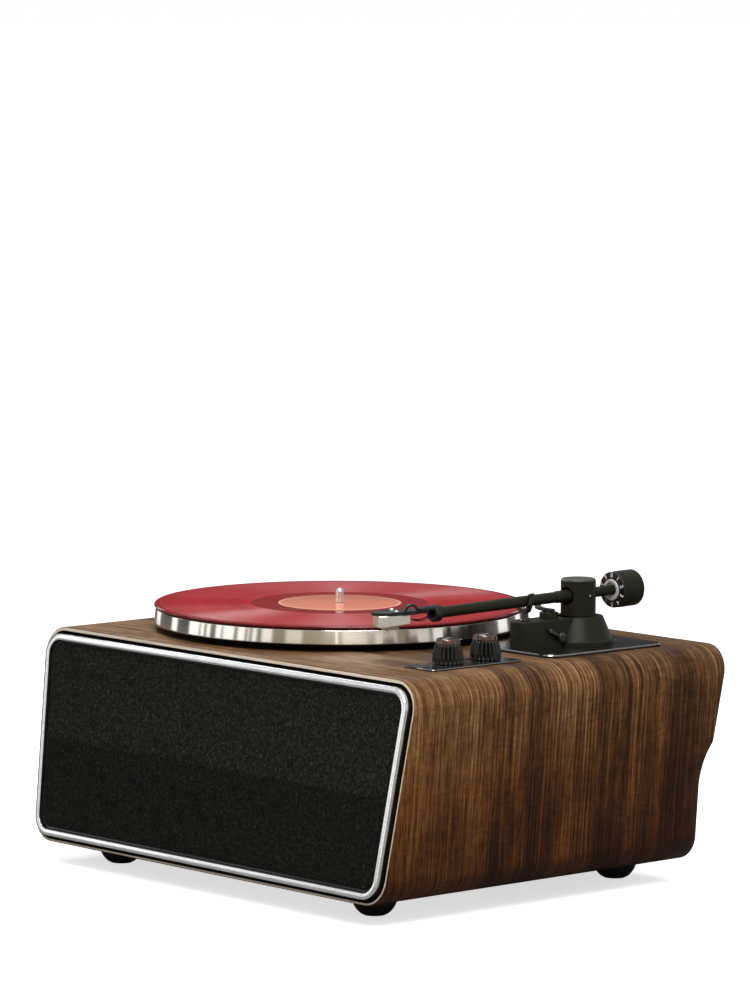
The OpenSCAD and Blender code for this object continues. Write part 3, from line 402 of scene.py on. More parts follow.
def walnut():
    """Veneer in strips side by side along Y, with its grain running round the sleeve."""
    s = Shader("walnut_veneer", Specular_IOR_Level=0.14)
    uv = s.node("UVMap", uv_map="veneer").outputs[0]
    parts = s.node("SeparateXYZ", {0: uv}).outputs
    along, across = parts[0], parts[1]
    wander = s.noise(s.stretched((2, 4, 1), uv), 2, 2)
    place = s.math("ADD", s.math("DIVIDE", across, LEAF_W * MM), s.vary(wander, -0.06, 0.06))
    leaf = s.math("FLOOR", place)
    tone = s.steps(leaf, LEAF_TONES)
    ruled = s.steps(leaf, LEAF_LINES)
    seed = s.math("MULTIPLY", s.steps(leaf, LEAF_SEEDS), SEED_SPREAD)
    grain_at = s.node("CombineXYZ", {0: along, 1: across, 2: seed}).outputs[0]
    broad = s.noise(s.stretched((2.2, 30, 1), grain_at), 1, 4, 0.55, 0.8)
    streak = s.noise(s.stretched((9, 380, 1), grain_at), 1, 5, 0.68, 0.5)
    pores = s.noise(s.stretched((48, 800, 1), grain_at), 1, 3, 0.6)
    figure = s.noise(s.stretched((170, 50, 1), grain_at), 1, 3, 0.55, 1.4)
    patch = s.noise(s.stretched((12, 22, 1), grain_at), 1, 3, 0.5, 0.8)
    waves = {"Vector": s.stretched((1.0, 82, 1), grain_at), "Scale": 1, "Distortion": 2.6}
    waves.update({"Detail": 3, "Detail Scale": 1.8})
    lines = s.node("TexWave", waves, bands_direction="Y").outputs["Fac"]
    lines = s.math("MULTIPLY", s.math("SUBTRACT", lines, 0.5), ruled)
    value = s.math("ADD", tone, s.remap(broad, 0.25, 0.75, -0.16, 0.16))
    for noise, reach in ((streak, 0.27), (figure, 0.07), (patch, 0.1)):
        value = s.math("ADD", value, s.vary(noise, -reach, reach))
    value = s.math("ADD", value, lines, clamp=True)
    wood = s.ramp(value, (0.0, (0.018, 0.0056, 0.0014)), (0.28, (0.06, 0.02, 0.005)),
                  (0.52, (0.165, 0.062, 0.017)), (0.76, (0.34, 0.155, 0.052)), (1.0, (0.52, 0.29, 0.125)))
    dark = s.ramp(pores, (0.0, (0.22, 0.17, 0.13)), (0.39, (0.36, 0.3, 0.25)), (0.5, (1, 1, 1)))
    rise = s.remap(s.height(), foot_h * MM, top_z * MM, 0.0, 1.0)
    # Painted shade and sheen by height: the veneer is drawn darker and more saturated towards the foot,
    # and paler and greyer near the top edge, as light from above falls on it.
    painted_shade_and_sheen = s.ramp(rise, (0.0, (0.35, 0.25, 0.13)), (0.5, (0.74, 0.66, 0.5)),
                   (0.86, (1.16, 1.36, 1.66)), (1.0, (0.8, 1.0, 1.3)))
    s.drive("Base Color", s.mix(1.0, s.mix(0.85, wood, dark, "MULTIPLY"), painted_shade_and_sheen, "MULTIPLY"))
    s.drive("Roughness", s.vary(streak, 0.4, 0.54))
    s.bump(s.math("ADD", pores, s.math("MULTIPLY", streak, 0.6)), 0.4, 0.06 * MM)
    return s.material


def raw_edge():
    """Pale raw edge of the veneered board, with the layers of its core."""
    s = Shader("raw_wood_edge", Roughness=0.6)
    fibres = s.noise(s.stretched((60, 900, 900)), 1, 4, 0.6)
    layers = s.noise(s.stretched((12, 400, 500)), 1, 2)
    value = s.weigh(fibres, 0.6, layers, 0.4)
    s.drive("Base Color", s.ramp(value, (0.25, (0.44, 0.35, 0.26)), (0.5, (0.7, 0.6, 0.47)),
                                 (0.75, (0.83, 0.75, 0.63))))
    s.bump(fibres, 0.3)
    return s.material


def metal(name, colour, roughness, grain, lines=0.0, spread=0.06):
    """Bare metal whose fine tool marks run across the given direction of closeness."""
    s = Shader(name, Metallic=1.0)
    marks = s.noise(s.stretched(grain), 1, 4, 0.6)
    cloud = s.noise(s.place(), 60, 2)
    dimmer = 0.82
    dim = tuple(c * dimmer for c in colour)
    s.drive("Base Color", s.ramp(s.weigh(marks, 0.6, cloud, 0.4), (0.3, dim), (0.65, colour)))
    s.drive("Roughness", s.vary(marks, roughness, roughness + spread))
    if lines:
        s.bump(marks, lines, 0.02 * MM)
    return s.material


def coated(name, colour, roughness, grain, depth=0.25, metallic=0.0, **sockets):
    """Painted or moulded surface with a fine grain and a little unevenness."""
    s = Shader(name, Metallic=metallic, **sockets)
    fine = s.noise(s.place(), grain, 3, 0.6)
    cloud = s.noise(s.place(), 45, 3)
    lighter, dimmer = 1.25, 0.78
    light = tuple(min(1, c * lighter) for c in colour)
    dim = tuple(c * dimmer for c in colour)
    s.drive("Base Color", s.ramp(s.weigh(fine, 0.5, cloud, 0.5), (0.3, dim), (0.7, light)))
    s.drive("Roughness", s.vary(cloud, roughness - 0.05, roughness + 0.06))
    s.bump(fine, depth, 0.04 * MM)
    return s.material


def grille_weave():
    """Black acoustic cloth: a close weave with paler flecks in its yarn, with painted shade below the rib
    and painted light above it.
    """
    s = Shader("grille_weave", Roughness=0.95, Specular_IOR_Level=0.1)
    at = s.place()
    threads = {"Vector": at, "Scale": 420.0, "Distortion": 1.2, "Detail Scale": 3.0}
    warp = s.node("TexWave", threads, bands_direction="X").outputs["Fac"]
    weft = s.node("TexWave", threads, bands_direction="Z").outputs["Fac"]
    weave = s.math("MULTIPLY", warp, weft)
    yarn = s.noise(at, 430, 3, 0.75)
    flecks = s.noise(at, 420, 2, 0.6)
    cloth = s.ramp(s.weigh(weave, 0.2, yarn, 0.8), (0.3, (0.001, 0.0011, 0.0008)),
                   (0.45, (0.007, 0.0078, 0.0058)), (0.62, (0.028, 0.03, 0.024)))
    pale = s.ramp(flecks, (0.0, grey(0)), (0.56, grey(0)), (0.8, (0.035, 0.037, 0.031)))
    # Painted shade and light: the cloth is drawn darker below the rib and lighter above it, as if lit
    # from above.
    painted_shade_and_light_by_rib = s.remap(s.height(at), (RIB_Z - 1.5) * MM, (RIB_Z + 1.5) * MM, 0.75, 1.3)
    s.drive("Base Color", s.mix(1.0, s.mix(1.0, cloth, pale, "ADD"), painted_shade_and_light_by_rib, "MULTIPLY"))
    s.bump(s.math("ADD", weave, yarn), 0.6, 0.2 * MM)
    return s.material


def from_spindle(s):
    """Distance from the spindle's axis, for turned and grooved surfaces."""
    flat = s.stretched((1, 1, 0), shift=(-spindle.x * MM, -spindle.y * MM, 0))
    return s.node("VectorMath", {0: flat}, operation="LENGTH").outputs["Value"]


def around_spindle(s):
    """Direction round the spindle, along the tool marks and the grooves."""
    return s.node("Tangent", direction_type="RADIAL", axis="Z").outputs[0]


def platter_metal():
    """Turned aluminium with fine rings from the tool, with a painted shadow in near black along the foot
    of the rim.
    """
    s = Shader("platter_metal", Metallic=1.0, Anisotropic=1.0, Anisotropic_Rotation=0.25)
    closeness = 2600.0
    height = s.height()
    ring = s.node("CombineXYZ", {0: s.math("MULTIPLY", from_spindle(s), closeness),
                                 1: s.math("MULTIPLY", height, closeness)}).outputs[0]
    marks = s.noise(ring, 1, 3, 0.6)
    bright = s.ramp(marks, (0.3, (0.76, 0.72, 0.65)), (0.7, (0.88, 0.85, 0.79)))
    # Painted shadow: the lowest band of the rim is drawn near black, where shade falls under the platter.
    under = s.remap(height, (PAINTED_SHADOW_TOP - 0.3) * MM, PAINTED_SHADOW_TOP * MM, 1.0, 0.0)
    s.drive("Base Color", s.mix(under, bright, (0.012, 0.012, 0.011, 1)))
    s.drive("Roughness", s.vary(marks, 0.15, 0.18))
    s.drive("Tangent", around_spindle(s))
    return s.material


def record_vinyl():
    """Red vinyl with bands of fine grooves and plain gaps between the tracks."""
    s = Shader("record_vinyl", IOR=1.5, Anisotropic=1.0, Anisotropic_Rotation=0.25)
    radius = from_spindle(s)
    groove = s.node("CombineXYZ", {0: s.math("MULTIPLY", radius, 1500.0)}).outputs[0]
    fine = s.noise(groove, 1, 2, 0.7)
    tracks = s.node("CombineXYZ", {0: s.math("MULTIPLY", radius, 75.0)}).outputs[0]
    bands = s.noise(tracks, 1, 2, 0.5)
    inside = s.math("LESS_THAN", radius, GROOVES_OUT * MM)
    cut = s.math("MULTIPLY", inside, s.math("GREATER_THAN", radius, GROOVES_IN * MM))
    red = s.ramp(s.weigh(fine, 0.45, bands, 0.55), (0.3, (0.26, 0.006, 0.01)),
                 (0.5, (0.35, 0.01, 0.014)), (0.7, (0.43, 0.016, 0.019)))
    # Painted shade: the outermost rim of the record is drawn dark red, as if in shadow.
    edge = s.math("GREATER_THAN", radius, (RECORD_R - 0.8) * MM)
    s.drive("Base Color", s.mix(s.math("MULTIPLY", edge, 0.75), red, (0.1, 0.003, 0.005, 1)))
    relief = s.math("MULTIPLY", cut, s.math("ADD", 0.7, bands))
    s.drive("Roughness", s.remap(relief, 0.0, 1.4, 0.1, 0.46))
    s.drive("Tangent", around_spindle(s))
    return s.material


def label_paper():
    """Plain tan paper label under a clear gloss varnish, with a pressing ring and a paler rim."""
    s = Shader("label_paper", Coat_Weight=0.6, Coat_Roughness=0.03)
    radius = from_spindle(s)
    fibre = s.noise(s.place(), 900, 5, 0.65)
    cloud = s.noise(s.place(), 40, 3)
    tone = s.weigh(fibre, 0.5, cloud, 0.5)
    paper = s.ramp(tone, (0.3, (0.6, 0.155, 0.075)), (0.7, (0.74, 0.225, 0.115)))
    rim = s.math("GREATER_THAN", radius, LABEL_RIM_R * MM)
    s.drive("Base Color", s.mix(s.math("MULTIPLY", rim, 0.6), paper, (0.9, 0.5, 0.36, 1)))
    s.drive("Roughness", s.vary(fibre, 0.45, 0.6))
    press = s.math("ABSOLUTE", s.math("SUBTRACT", radius, PRESS_RING_R * MM))
    ring = s.remap(press, 0.0, 0.8 * MM, 1.0, 0.0)
    s.bump(s.math("ADD", ring, s.math("MULTIPLY", fibre, 0.1)), 0.4, 0.2 * MM)
    return s.material


def felt():
    s = Shader("felt_mat", Roughness=0.95, Sheen_Weight=0.25)
    fibre = s.noise(s.place(), 1500, 5, 0.7, 1.5)
    s.drive("Base Color", s.ramp(fibre, (0.3, grey(0.006)), (0.7, grey(0.035))))
    s.bump(fibre, 0.8, 0.3 * MM)
    return s.material


def circuit():
    s = Shader("circuit_board", Roughness=0.4)
    bricks = {"Vector": s.stretched((60, 60, 60)), "Scale": 1.0, "Mortar Size": 0.03}
    tracks = s.node("TexBrick", bricks).outputs["Fac"]
    s.drive("Base Color", s.mix(tracks, (0.012, 0.09, 0.03, 1), (0.05, 0.2, 0.08, 1)))
    s.bump(tracks, 0.3)
    return s.material


MAT = {
    "walnut": walnut(),
    "edge": raw_edge(),
    "trim": metal("trim_metal", (0.82, 0.83, 0.84), 0.16, (40, 300, 300), 0.0, 0.03),
    "bevel": metal("bevel_metal", (0.28, 0.28, 0.27), 0.12, (300, 300, 900), 0.0, 0.04),
    "cloth": grille_weave(),
    "gloss": coated("gloss_black", grey(0.008), 0.2, 900, 0.05, Coat_Weight=0.5, Coat_Roughness=0.08),
    "dial": coated("dial_black", grey(0.006), 0.45, 1500, 0.05, Specular_IOR_Level=0.3),
    "plastic": coated("black_plastic", grey(0.01), 0.5, 2200, 0.35),
    "board": coated("black_board", grey(0.016), 0.62, 1200, 0.4),
    "arm": coated("arm_metal", (0.0145, 0.0148, 0.008), 0.42, 2600, 0.12, Specular_IOR_Level=0.15),
    "cap": coated("cap_metal", (0.07, 0.07, 0.055), 0.36, 2600, 0.15, metallic=0.3),
    "black_metal": coated("black_metal", (0.008, 0.008, 0.007), 0.34, 2600, 0.15, Specular_IOR_Level=0.4),
    "plate": coated("arm_plate_black", (0.007, 0.007, 0.0065), 0.22, 1800, 0.02),
    "rubber": coated("black_rubber", grey(0.011), 0.72, 1600, 0.5),
    "rocker": coated("rocker_plastic", grey(0.045), 0.36, 1800, 0.15),
    "platter": platter_metal(),
    "vinyl": record_vinyl(),
    "label": label_paper(),
    "felt": felt(),
    "pin": metal("pin_metal", (0.95, 0.93, 0.9), 0.2, (500, 500, 90), 0.0, 0.04),
    "chrome": metal("chrome", (0.93, 0.93, 0.94), 0.05, (500, 500, 500), 0.0, 0.03),
    "steel": metal("plated_steel", grey(0.6), 0.26, (900, 900, 120), 0.1),
    "satin": coated("satin_silver", (0.5, 0.5, 0.49), 0.3, 1800, 0.05, Specular_IOR_Level=0.7),
    "machined": metal("machined_metal", grey(0.93), 0.42, (2000, 2000, 2000), 0.05),
    "bronze": metal("bronze", (0.78, 0.52, 0.24), 0.24, (900, 900, 900), 0.08),
    "crown": coated("knob_crown", (0.085, 0.046, 0.033), 0.11, 900, 0.0, 0.6, Coat_Weight=0.6,
                    Coat_Roughness=0.04),
    "knob": coated("knob_black", grey(0.003), 0.15, 900, 0.02, Specular_IOR_Level=0.5),
    "champagne": metal("cartridge_metal", (0.96, 0.93, 0.85), 0.34, (1200, 300, 1200), 0.08),
    "ivory": coated("stylus_plastic", (0.75, 0.72, 0.62), 0.35, 1500, 0.1),
    "paper": coated("speaker_paper", grey(0.02), 0.85, 700, 0.8),
    "circuit": circuit(),
    "ink": coated("dial_ink", (0.82, 0.82, 0.8), 0.5, 1500, 0.1),
    "white": coated("white_plastic", (0.8, 0.8, 0.78), 0.4, 1500, 0.1),
    "red": coated("red_plastic", (0.45, 0.02, 0.02), 0.4, 1500, 0.1),
}


# Cabinet


def top_corner(d):
    return Vector((CABINET_W / 2 - d * (1 / cos(TAPER) + tan(TAPER)), top_z - d))


def low_corner(d):
    drop = top_z - foot_h - d
    return Vector((CABINET_W / 2 - d / cos(TAPER) - drop * tan(TAPER), foot_h + d))


def spread(a, b, count):
    """Points from a up to, but without, b."""
    return [a.lerp(b, i / count) for i in range(count)]


def arc(centre, r, a0, a1, count):
    angles = [a0 + (a1 - a0) * i / count for i in range(count)]
    return [centre + r * Vector((cos(a), sin(a))) for a in angles]


SIDE_STEPS = 64
ARC_STEPS = 14
FLAT_STEPS = 24


def cabinet_outline(inset):
    """Cross-section of the cabinet in (x, z), from the middle of the underside round by the right."""
    r = max(CORNER_R - inset, INNER_CORNER_R)
    up, down = top_corner(inset + r), low_corner(inset + r)
    out = Vector((cos(TAPER), -sin(TAPER))) * r
    rise = Vector((0, r))
    right = spread(Vector((0, down.y - r)), down - rise, FLAT_STEPS)
    right += arc(down, r, -pi / 2, -TAPER, ARC_STEPS)
    right += spread(down + out, up + out, SIDE_STEPS)
    right += arc(up, r, -TAPER, pi / 2, ARC_STEPS)
    right += spread(up + rise, Vector((0, up.y + r)), FLAT_STEPS)
    left = [Vector((-p.x, p.y)) for p in reversed(right[1:])]
    return right + [Vector((0, up.y + r))] + left


def front_y(z):
    return front_top_y - (top_z - z) * tan(LEAN)


def lean_rear_y(z):
    return rear_top_y - (top_z - z) * tan(LEAN)


STEP_TOP = foot_h + HOLLOW_TOP
STEP_LOW = foot_h + HOLLOW_LOW
LOW_REAR_Y = lean_rear_y(STEP_TOP) - HOLLOW_DEPTH
STEP_R = (HOLLOW_DEPTH ** 2 + (STEP_TOP - STEP_LOW) ** 2) / (2 * HOLLOW_DEPTH)


def rear_y(z):
    if z >= STEP_TOP:
        return lean_rear_y(z)
    if z <= STEP_LOW:
        return LOW_REAR_Y
    return LOW_REAR_Y + STEP_R - sqrt(STEP_R ** 2 - (z - STEP_LOW) ** 2)


def front_loop(inset, depth):
    """Loop parallel to the leaning front, a given depth behind its edge."""
    return [Vector((p.x, front_y(p.y) + depth / cos(LEAN), p.y)) for p in cabinet_outline(inset)]


def lip_loop(depth):
    """Inner edge of the wooden lip: widest along the top, narrower from the corners down."""
    wide, narrow = front_loop(LIP_T, depth), front_loop(LIP_SIDE, depth)
    return [a.lerp(b, min(1, (top_z - a.z) / CORNER_R)) for a, b in zip(wide, narrow)]


def rear_loop(inset, depth):
    return [Vector((p.x, rear_y(p.y) - depth, p.y)) for p in cabinet_outline(inset)]


def cabinet_shell():
    """The whole wooden sleeve in one piece, so that its veneer wraps round the corners."""
    ease, rows = 0.6, 12
    rim = ease * (1 - sqrt(0.5))
    first, last = front_loop(0, ease), rear_loop(0, ease)
    loops = [[a.lerp(b, i / rows) for a, b in zip(first, last)] for i in range(rows + 1)]
    loops += [rear_loop(rim, rim), rear_loop(ease, 0), rear_loop(BACK_LIP, 0),
              rear_loop(BACK_LIP, BACK_REBATE_D), rear_loop(BOARD_T, BACK_REBATE_D)]
    loops += [front_loop(BOARD_T, REBATE_D), lip_loop(REBATE_D), lip_loop(0),
              front_loop(ease, 0), front_loop(rim, rim)]
    mesh = skin(loops, ring=True)
    count = len(first)
    run = [0.0]
    for a, b in zip(first, first[1:] + first[:1]):
        run.append(run[-1] + (Vector((b.x, b.z)) - Vector((a.x, a.z))).length)
    uv = mesh.uv_layers.new(name="veneer")
    bare_rows, inner_rows = (rows + 2, rows + 8), range(rows + 3, rows + 8)
    for face in mesh.polygons:
        corners = [mesh.loops[i].vertex_index for i in face.loop_indices]
        row = min(corner // count for corner in corners)
        face.material_index = 1 if row in bare_rows else 2 if row in inner_rows else 0
        closing = max(corner % count for corner in corners) == count - 1
        for i, corner in zip(face.loop_indices, corners):
            column = corner % count
            if closing and column == 0:
                column = count
            uv.data[i].uv = (run[column] * MM, (mesh.vertices[corner].co.y - LEAF_START) * MM)
    put("cabinet_shell", mesh, ["walnut", "edge", "board"], "cabinet", "walnut",
        "cabinet_top", "cabinet_bottom", "cabinet_left", "cabinet_right", sharp=30)


def trim_frame():
    """Polished frame with a slightly crowned face and small rounded edges."""
    crown, flank = 0.2, -2.6
    nose = soften([(0, flank), (0, TRIM_STAND - crown, 0.7), (TRIM_W / 2, TRIM_STAND, 4),
                   (TRIM_W, TRIM_STAND - crown, 0.5), (TRIM_W, flank)])
    back = [Vector((TRIM_W, -TRIM_BACK)), Vector((0, -TRIM_BACK))]
    loops = [front_loop(TRIM_INSET + p.x, -p.y) for p in nose + back]
    put("trim_frame", skin(loops, ring=True), "trim", "cabinet", "trim_metal", "trim_ring", sharp=50)


CLOTH_INSET = 11.8
CLOTH_FRONT = 2.8
CLOTH_ROLL = 2.4
CLOTH_TUCK = 2
ROLL_ANGLES = (30, 60, 90)
CLOTH_RINGS = (4, 10, 18, 26, 34, 42, 50, 57, 62, 65, 67)
RIDGE_H = 1.6
RIDGE_W = 44
RIDGE_END = 24
RIDGE_FADE = 55


def grille():
    """Cloth stretched over its frame: rolled round the edge and drawn tight over the middle rib."""
    loops = [front_loop(CLOTH_INSET, CLOTH_TUCK)]
    for a in (radians(d) for d in ROLL_ANGLES):
        drawn, rise = CLOTH_ROLL * (1 - cos(a)), CLOTH_ROLL * sin(a)
        loops.append(front_loop(CLOTH_INSET + drawn, CLOTH_ROLL - CLOTH_FRONT - rise))
    edges = len(loops)
    loops += [front_loop(CLOTH_INSET + CLOTH_ROLL + d, -CLOTH_FRONT) for d in CLOTH_RINGS]
    for v in (v for loop in loops[edges:] for v in loop):
        slope = max(0, 1 - abs(v.z - RIB_Z) / RIDGE_W)
        fade = min(1, max(0, CABINET_W / 2 - RIDGE_END - abs(v.x)) / RIDGE_FADE)
        v.y -= RIDGE_H * slope * fade
    mesh = skin(loops, caps=False)
    count = len(loops[0])
    base = (len(loops) - 1) * count
    polygons = [tuple(p.vertices) for p in mesh.polygons] + [(base, base + 1, base + count - 1)]
    for k in range(1, count // 2):
        polygons.append(tuple(base + i for i in (k, k + 1, count - k - 1, (count - k) % count)))
    full = bpy.data.meshes.new("grille_cloth_sheet")
    full.from_pydata([v.co.copy() for v in mesh.vertices], [], polygons)
    full.validate()
    obj = put("grille_cloth_sheet", full, "cloth", "cabinet", "grille_cloth", "grille_cloth", sharp=60)


def grille_surround():
    """Glossy black surround between the cloth and the trim."""
    profile = soften([(0.3, -4), (0.3, 0.4, 0.3), (1.4, 0.4, 0.3), (1.4, -4)])
    loops = [front_loop(TRIM_INSET + TRIM_W + p.x, -p.y) for p in profile]
    put("grille_surround", skin(loops, ring=True), "gloss", "cabinet", "black_plastic")


# Platter and record


def platter_set():
    z0, z1 = heights("platter")
    r = extent("platter").x / 2
    hub, boss, disc, rim, draft, seat = 3.7, 80, 4, 6, 1.1, z0 + 0.3
    turned("platter_disc", [
        (hub, seat), (boss, seat, 0.6), (boss, z1 - disc, 1), (r - rim, z1 - disc, 1), (r - rim, z0, 0.5),
        (r - 0.2, z0, 0.6), (r, z0 + 2, 4), (r - draft, z1, 0.7), (hub, z1)],
        "platter", "platter", "platter_metal", "platter", count=256, ring=True)
    m0, m1 = heights("slip_mat")
    mr, mat_hole = extent("slip_mat").x / 2, 4.6
    turned("slip_mat_felt", [(mat_hole, m0), (mr, m0, 0.4), (mr, m1, 0.4), (mat_hole, m1)],
           "felt", "platter", "felt", "slip_mat", ring=True)
    v0, v1 = heights("record")
    vr, hole, label, label_r = RECORD_R, 3.65, 50.1, 50
    sunk, grooves = v1 - 0.2, v1 - 0.12
    turned("record_disc", [
        (hole, v0), (vr - 0.6, v0, 0.3), (vr, (v0 + v1) / 2, 0.7), (vr - 0.9, v1, 0.4),
        (vr - 3.2, v1, 0.4), (vr - 4.2, grooves, 0.4), (GROOVES_IN, grooves, 0.3),
        (GROOVES_IN - 1.5, v1, 0.3), (label, v1, 0.1), (label, sunk), (hole, sunk)],
        "vinyl", "platter", "record_red", "record", count=256, ring=True)
    b0, b1 = heights("record_label")
    turned("record_label_disc", [(hole, b0), (label_r, b0), (label_r, b1, 0.1), (hole, b1)],
           "label", "platter", "label_paper", "record_label", ring=True)
    s0, s1 = heights("spindle")
    pin, neck, shaft, collar = 3.55, 3, 4, 12
    turned("spindle_pin", [
        (shaft, s0), (shaft, seat - 1.7), (collar, seat - 1.7, 0.4), (collar, seat), (pin, seat),
        (pin, v1 - 0.7), (neck, v1 - 0.6), (neck, v1 + 0.4), (pin, v1 + 0.5), (pin, s1 - 2.2, 1.5),
        (1.9, s1 - 0.2, 0.5), (1.2, s1)],
        "pin", "platter", "chrome", "spindle", count=64)


# Controls


def knob(name, node, body):
    """Fluted knob with a dark glossy crown and a fine pointer line."""
    r, flutes, flute_depth, count = 12.3, 22, 1.5, 264
    height = extent(node).z
    crown = height - 4.4
    profile = soften([
        (r - 0.6, 0), (r - 0.2, 0.5, 0.4), (r, 4, 3), (r - 0.7, height * 0.5, 5),
        (r - 1.9, crown - 1.2, 1.4), (r - 3, crown)])
    loops = []
    for p in profile:
        cut = flute_depth * min(1, p.y / 1.2) * min(1, max(0, crown + 0.4 - p.y) / 2)
        loop = []
        for i in range(count):
            a = 2 * pi * i / count
            wave = (0.5 + 0.5 * cos(flutes * a)) ** 1.3
            loop.append(polar(p.x - cut * wave, a, p.y))
        loops.append(loop)
    grip = skin(loops)
    top = lathe([
        (r - 2.6, crown - 0.3), (r - 2.6, crown + 1, 0.5), (r - 3.1, height - 0.9, 0.8),
        (r - 4, height, 0.5), (r - 4.8, height, 0.2), (r - 5.1, height - 0.4, 0.2), (2, height - 0.4)],
        96)
    pointer = slab(rounded_rect(1, 5, 0.4), [(0.1, 0), (0, 0.1), (0, 0.25), (0.1, 0.3)])
    pointer.transform(Matrix.Translation((0, -3.8, height - 0.42)))
    assemble(name, (grip, top, pointer), ["knob", "crown", "ink"], body, "gloss_black", node,
             at=upright(middle(node), low(node).z), sharp=40)


def cross_head(r, h):
    """Screw head with a crossed slot pressed into its domed top."""
    arm, half, deep = 0.62 * r, 0.14 * r, 0.45 * h
    cross = [(half, half), (half, arm), (-half, arm), (-half, half), (-arm, half), (-arm, -half),
             (-half, -half), (-half, -arm), (half, -arm), (half, -half), (arm, -half), (arm, half)]
    angles = [atan2(y, x) for x, y in cross]
    dome = ((r, 0), (r, h * 0.35), (r * 0.93, h * 0.75), (r * 0.78, h))
    loops = [[polar(radius, a, z) for a in angles] for radius, z in dome]
    for z, scale in ((h, 1.0), (h - deep, 0.9)):
        loops.append([Vector((x * scale, y * scale, z)) for x, y in cross])
    return skin(loops)


def plate_set():
    """Black plates under the knobs and the arm, with a polished dark bevel round their edge."""
    steep, level = 0.3, 0.95
    for node, slot, r, bevel in (("control_plate", "gloss_black", 4, 0.5),
                                 ("arm_plate", "arm_plate_black", 12, 0.9)):
        name, size = node + "_skin", extent(node)
        outline = rounded_rect(size.x, size.y, r)
        top = slab(outline, [(0, 0), (0, size.z - bevel), (bevel, size.z)])
        at = upright(middle(node), low(node).z)
        obj = put(name, top, ["plate", "bevel"], "cabinet", slot, node, at=at, sharp=25)
        for face in obj.data.polygons:
            if steep < face.normal.z < level:
                face.material_index = 1


def corner_places(node, inset):
    """Four places on top of a node, in from its corners."""
    a, b = low(node), high(node)
    return [Vector((x, y, b.z)) for x in (a.x + inset, b.x - inset) for y in (a.y + inset, b.y - inset)]


def screw_set():
    """Crossed heads of the screws that hold the two plates."""
    inset = 8
    places = corner_places("arm_plate", inset)
    a, b = low("control_plate"), high("control_plate")
    between = (middle("volume_knob").y + middle("selector_knob").y) / 2
    places += [Vector((middle("control_plate").x, y, b.z)) for y in (a.y + inset, between)]
    heads = [moved(cross_head(3.1, 0.5), Matrix.Translation(place)) for place in places]
    assemble("plate_screw_heads", heads, "black_metal", "cabinet", "black_metal", "plate_screws",
             sharp=30)


# Arm base


def arm_base():
    z0, z1 = high("arm_plate").z, high("arm_base").z
    foot, flange, half, steps = 30, z0 + 4, 11.5, 24
    turned("arm_base_cone", [
        (foot, z0), (foot, flange, 0.8), (27.5, flange, 0.5), (19.6, z1, 0.9), (9.5, z1)],
        "arm", "cabinet", "arm_metal", "arm_base", centre=pivot, count=128)

    def block(inset):
        r = half - inset
        turn = [pi + pi * i / steps for i in range(steps + 1)]
        front = [Vector((r * cos(a), -REST_REACH + r * sin(a))) for a in turn]
        return front + [Vector((r, 0)), Vector((-r, 0))]
    body = slab(block, [(0, z0), (0, z1, 0.9), (2, z1)])
    put("arm_base_block", body, "arm", "cabinet", "arm_metal", at=upright(pivot), sharp=30)


def arm_rest():
    """Post with a curved clip: a tall outer ear, a low inner lip and a hollow bed for the tube."""
    base, centre_y = low("arm_rest").z, pivot.y - REST_REACH
    axis = pivot.z - REST_REACH * sin(ARM_TILT)
    turned("arm_rest_post", [(4, base), (4, base + 1, 0.4), (3.1, base + 1.5, 0.4), (2.9, axis - 8)],
           "gloss", "cabinet", "gloss_black", "arm_rest", centre=Vector((pivot.x, centre_y)), count=48)
    inner, outer, floor = 5.0, 7.2, axis - 5.8
    section = soften([
        (-4, floor - 3.2, 2), (4, floor - 3.2, 3), (outer, axis - 2, 3), (outer + 1.4, axis + 7.3, 0.4),
        (inner + 1.6, axis + 6.4, 0.6), (inner, axis + 1, 3), (inner - 1.2, floor, 2),
        (1.2 - inner, floor, 1.5), (-inner - 2, floor + 1, 0.3), (-inner - 2.3, floor, 0.4)], closed=True)
    centre = Vector((0, axis - 1))
    loops = []
    for y, draw in ((-2.7, 0.05), (-2.2, 0), (2.2, 0), (2.7, 0.05)):
        drawn = [p.lerp(centre, draw) for p in section]
        loops.append([Vector((pivot.x + p.x, centre_y + y, p.y)) for p in drawn])
    put("arm_rest_clip", skin(loops), "gloss", "cabinet", "gloss_black", sharp=40)


def lifter_set():
    """Pedestal on the block, and the curved bar on it that raises the arm over its whole swing."""
    g0, g1 = heights("lifter_guide")
    place = middle("lifter_guide")
    turned("lifter_pedestal", [(7.5, g0), (7.5, g1, 0.6), (2.4, g1)],
           "arm", "cabinet", "arm_metal", "lifter_guide", centre=place, count=64)
    z0, z1 = heights("lifter_bar")
    reach, half, thick, stem_r = 32, 2.5, 2.5, 2
    start, sweep, steps = -140, 58, 24
    section = soften([(-half, 0, 0.8), (half, 0, 0.8), (half, thick, 1), (-half, thick, 1)], closed=True)
    loops = []
    for i in range(steps + 1):
        a = radians(start + sweep * i / steps)
        out = polar(1, a)
        loops.append([pivot.xy.to_3d() + out * (reach + p.x) + Z * (z1 - thick + p.y) for p in section])
    bar = skin(loops)
    stem = lathe([(stem_r, z0), (stem_r, z1 - thick + 0.5)], 32)
    stem.transform(upright(place))
    assemble("lifter_arc", (bar, stem), ["rubber", "steel"], "lifter", "black_metal", "lifter_bar")


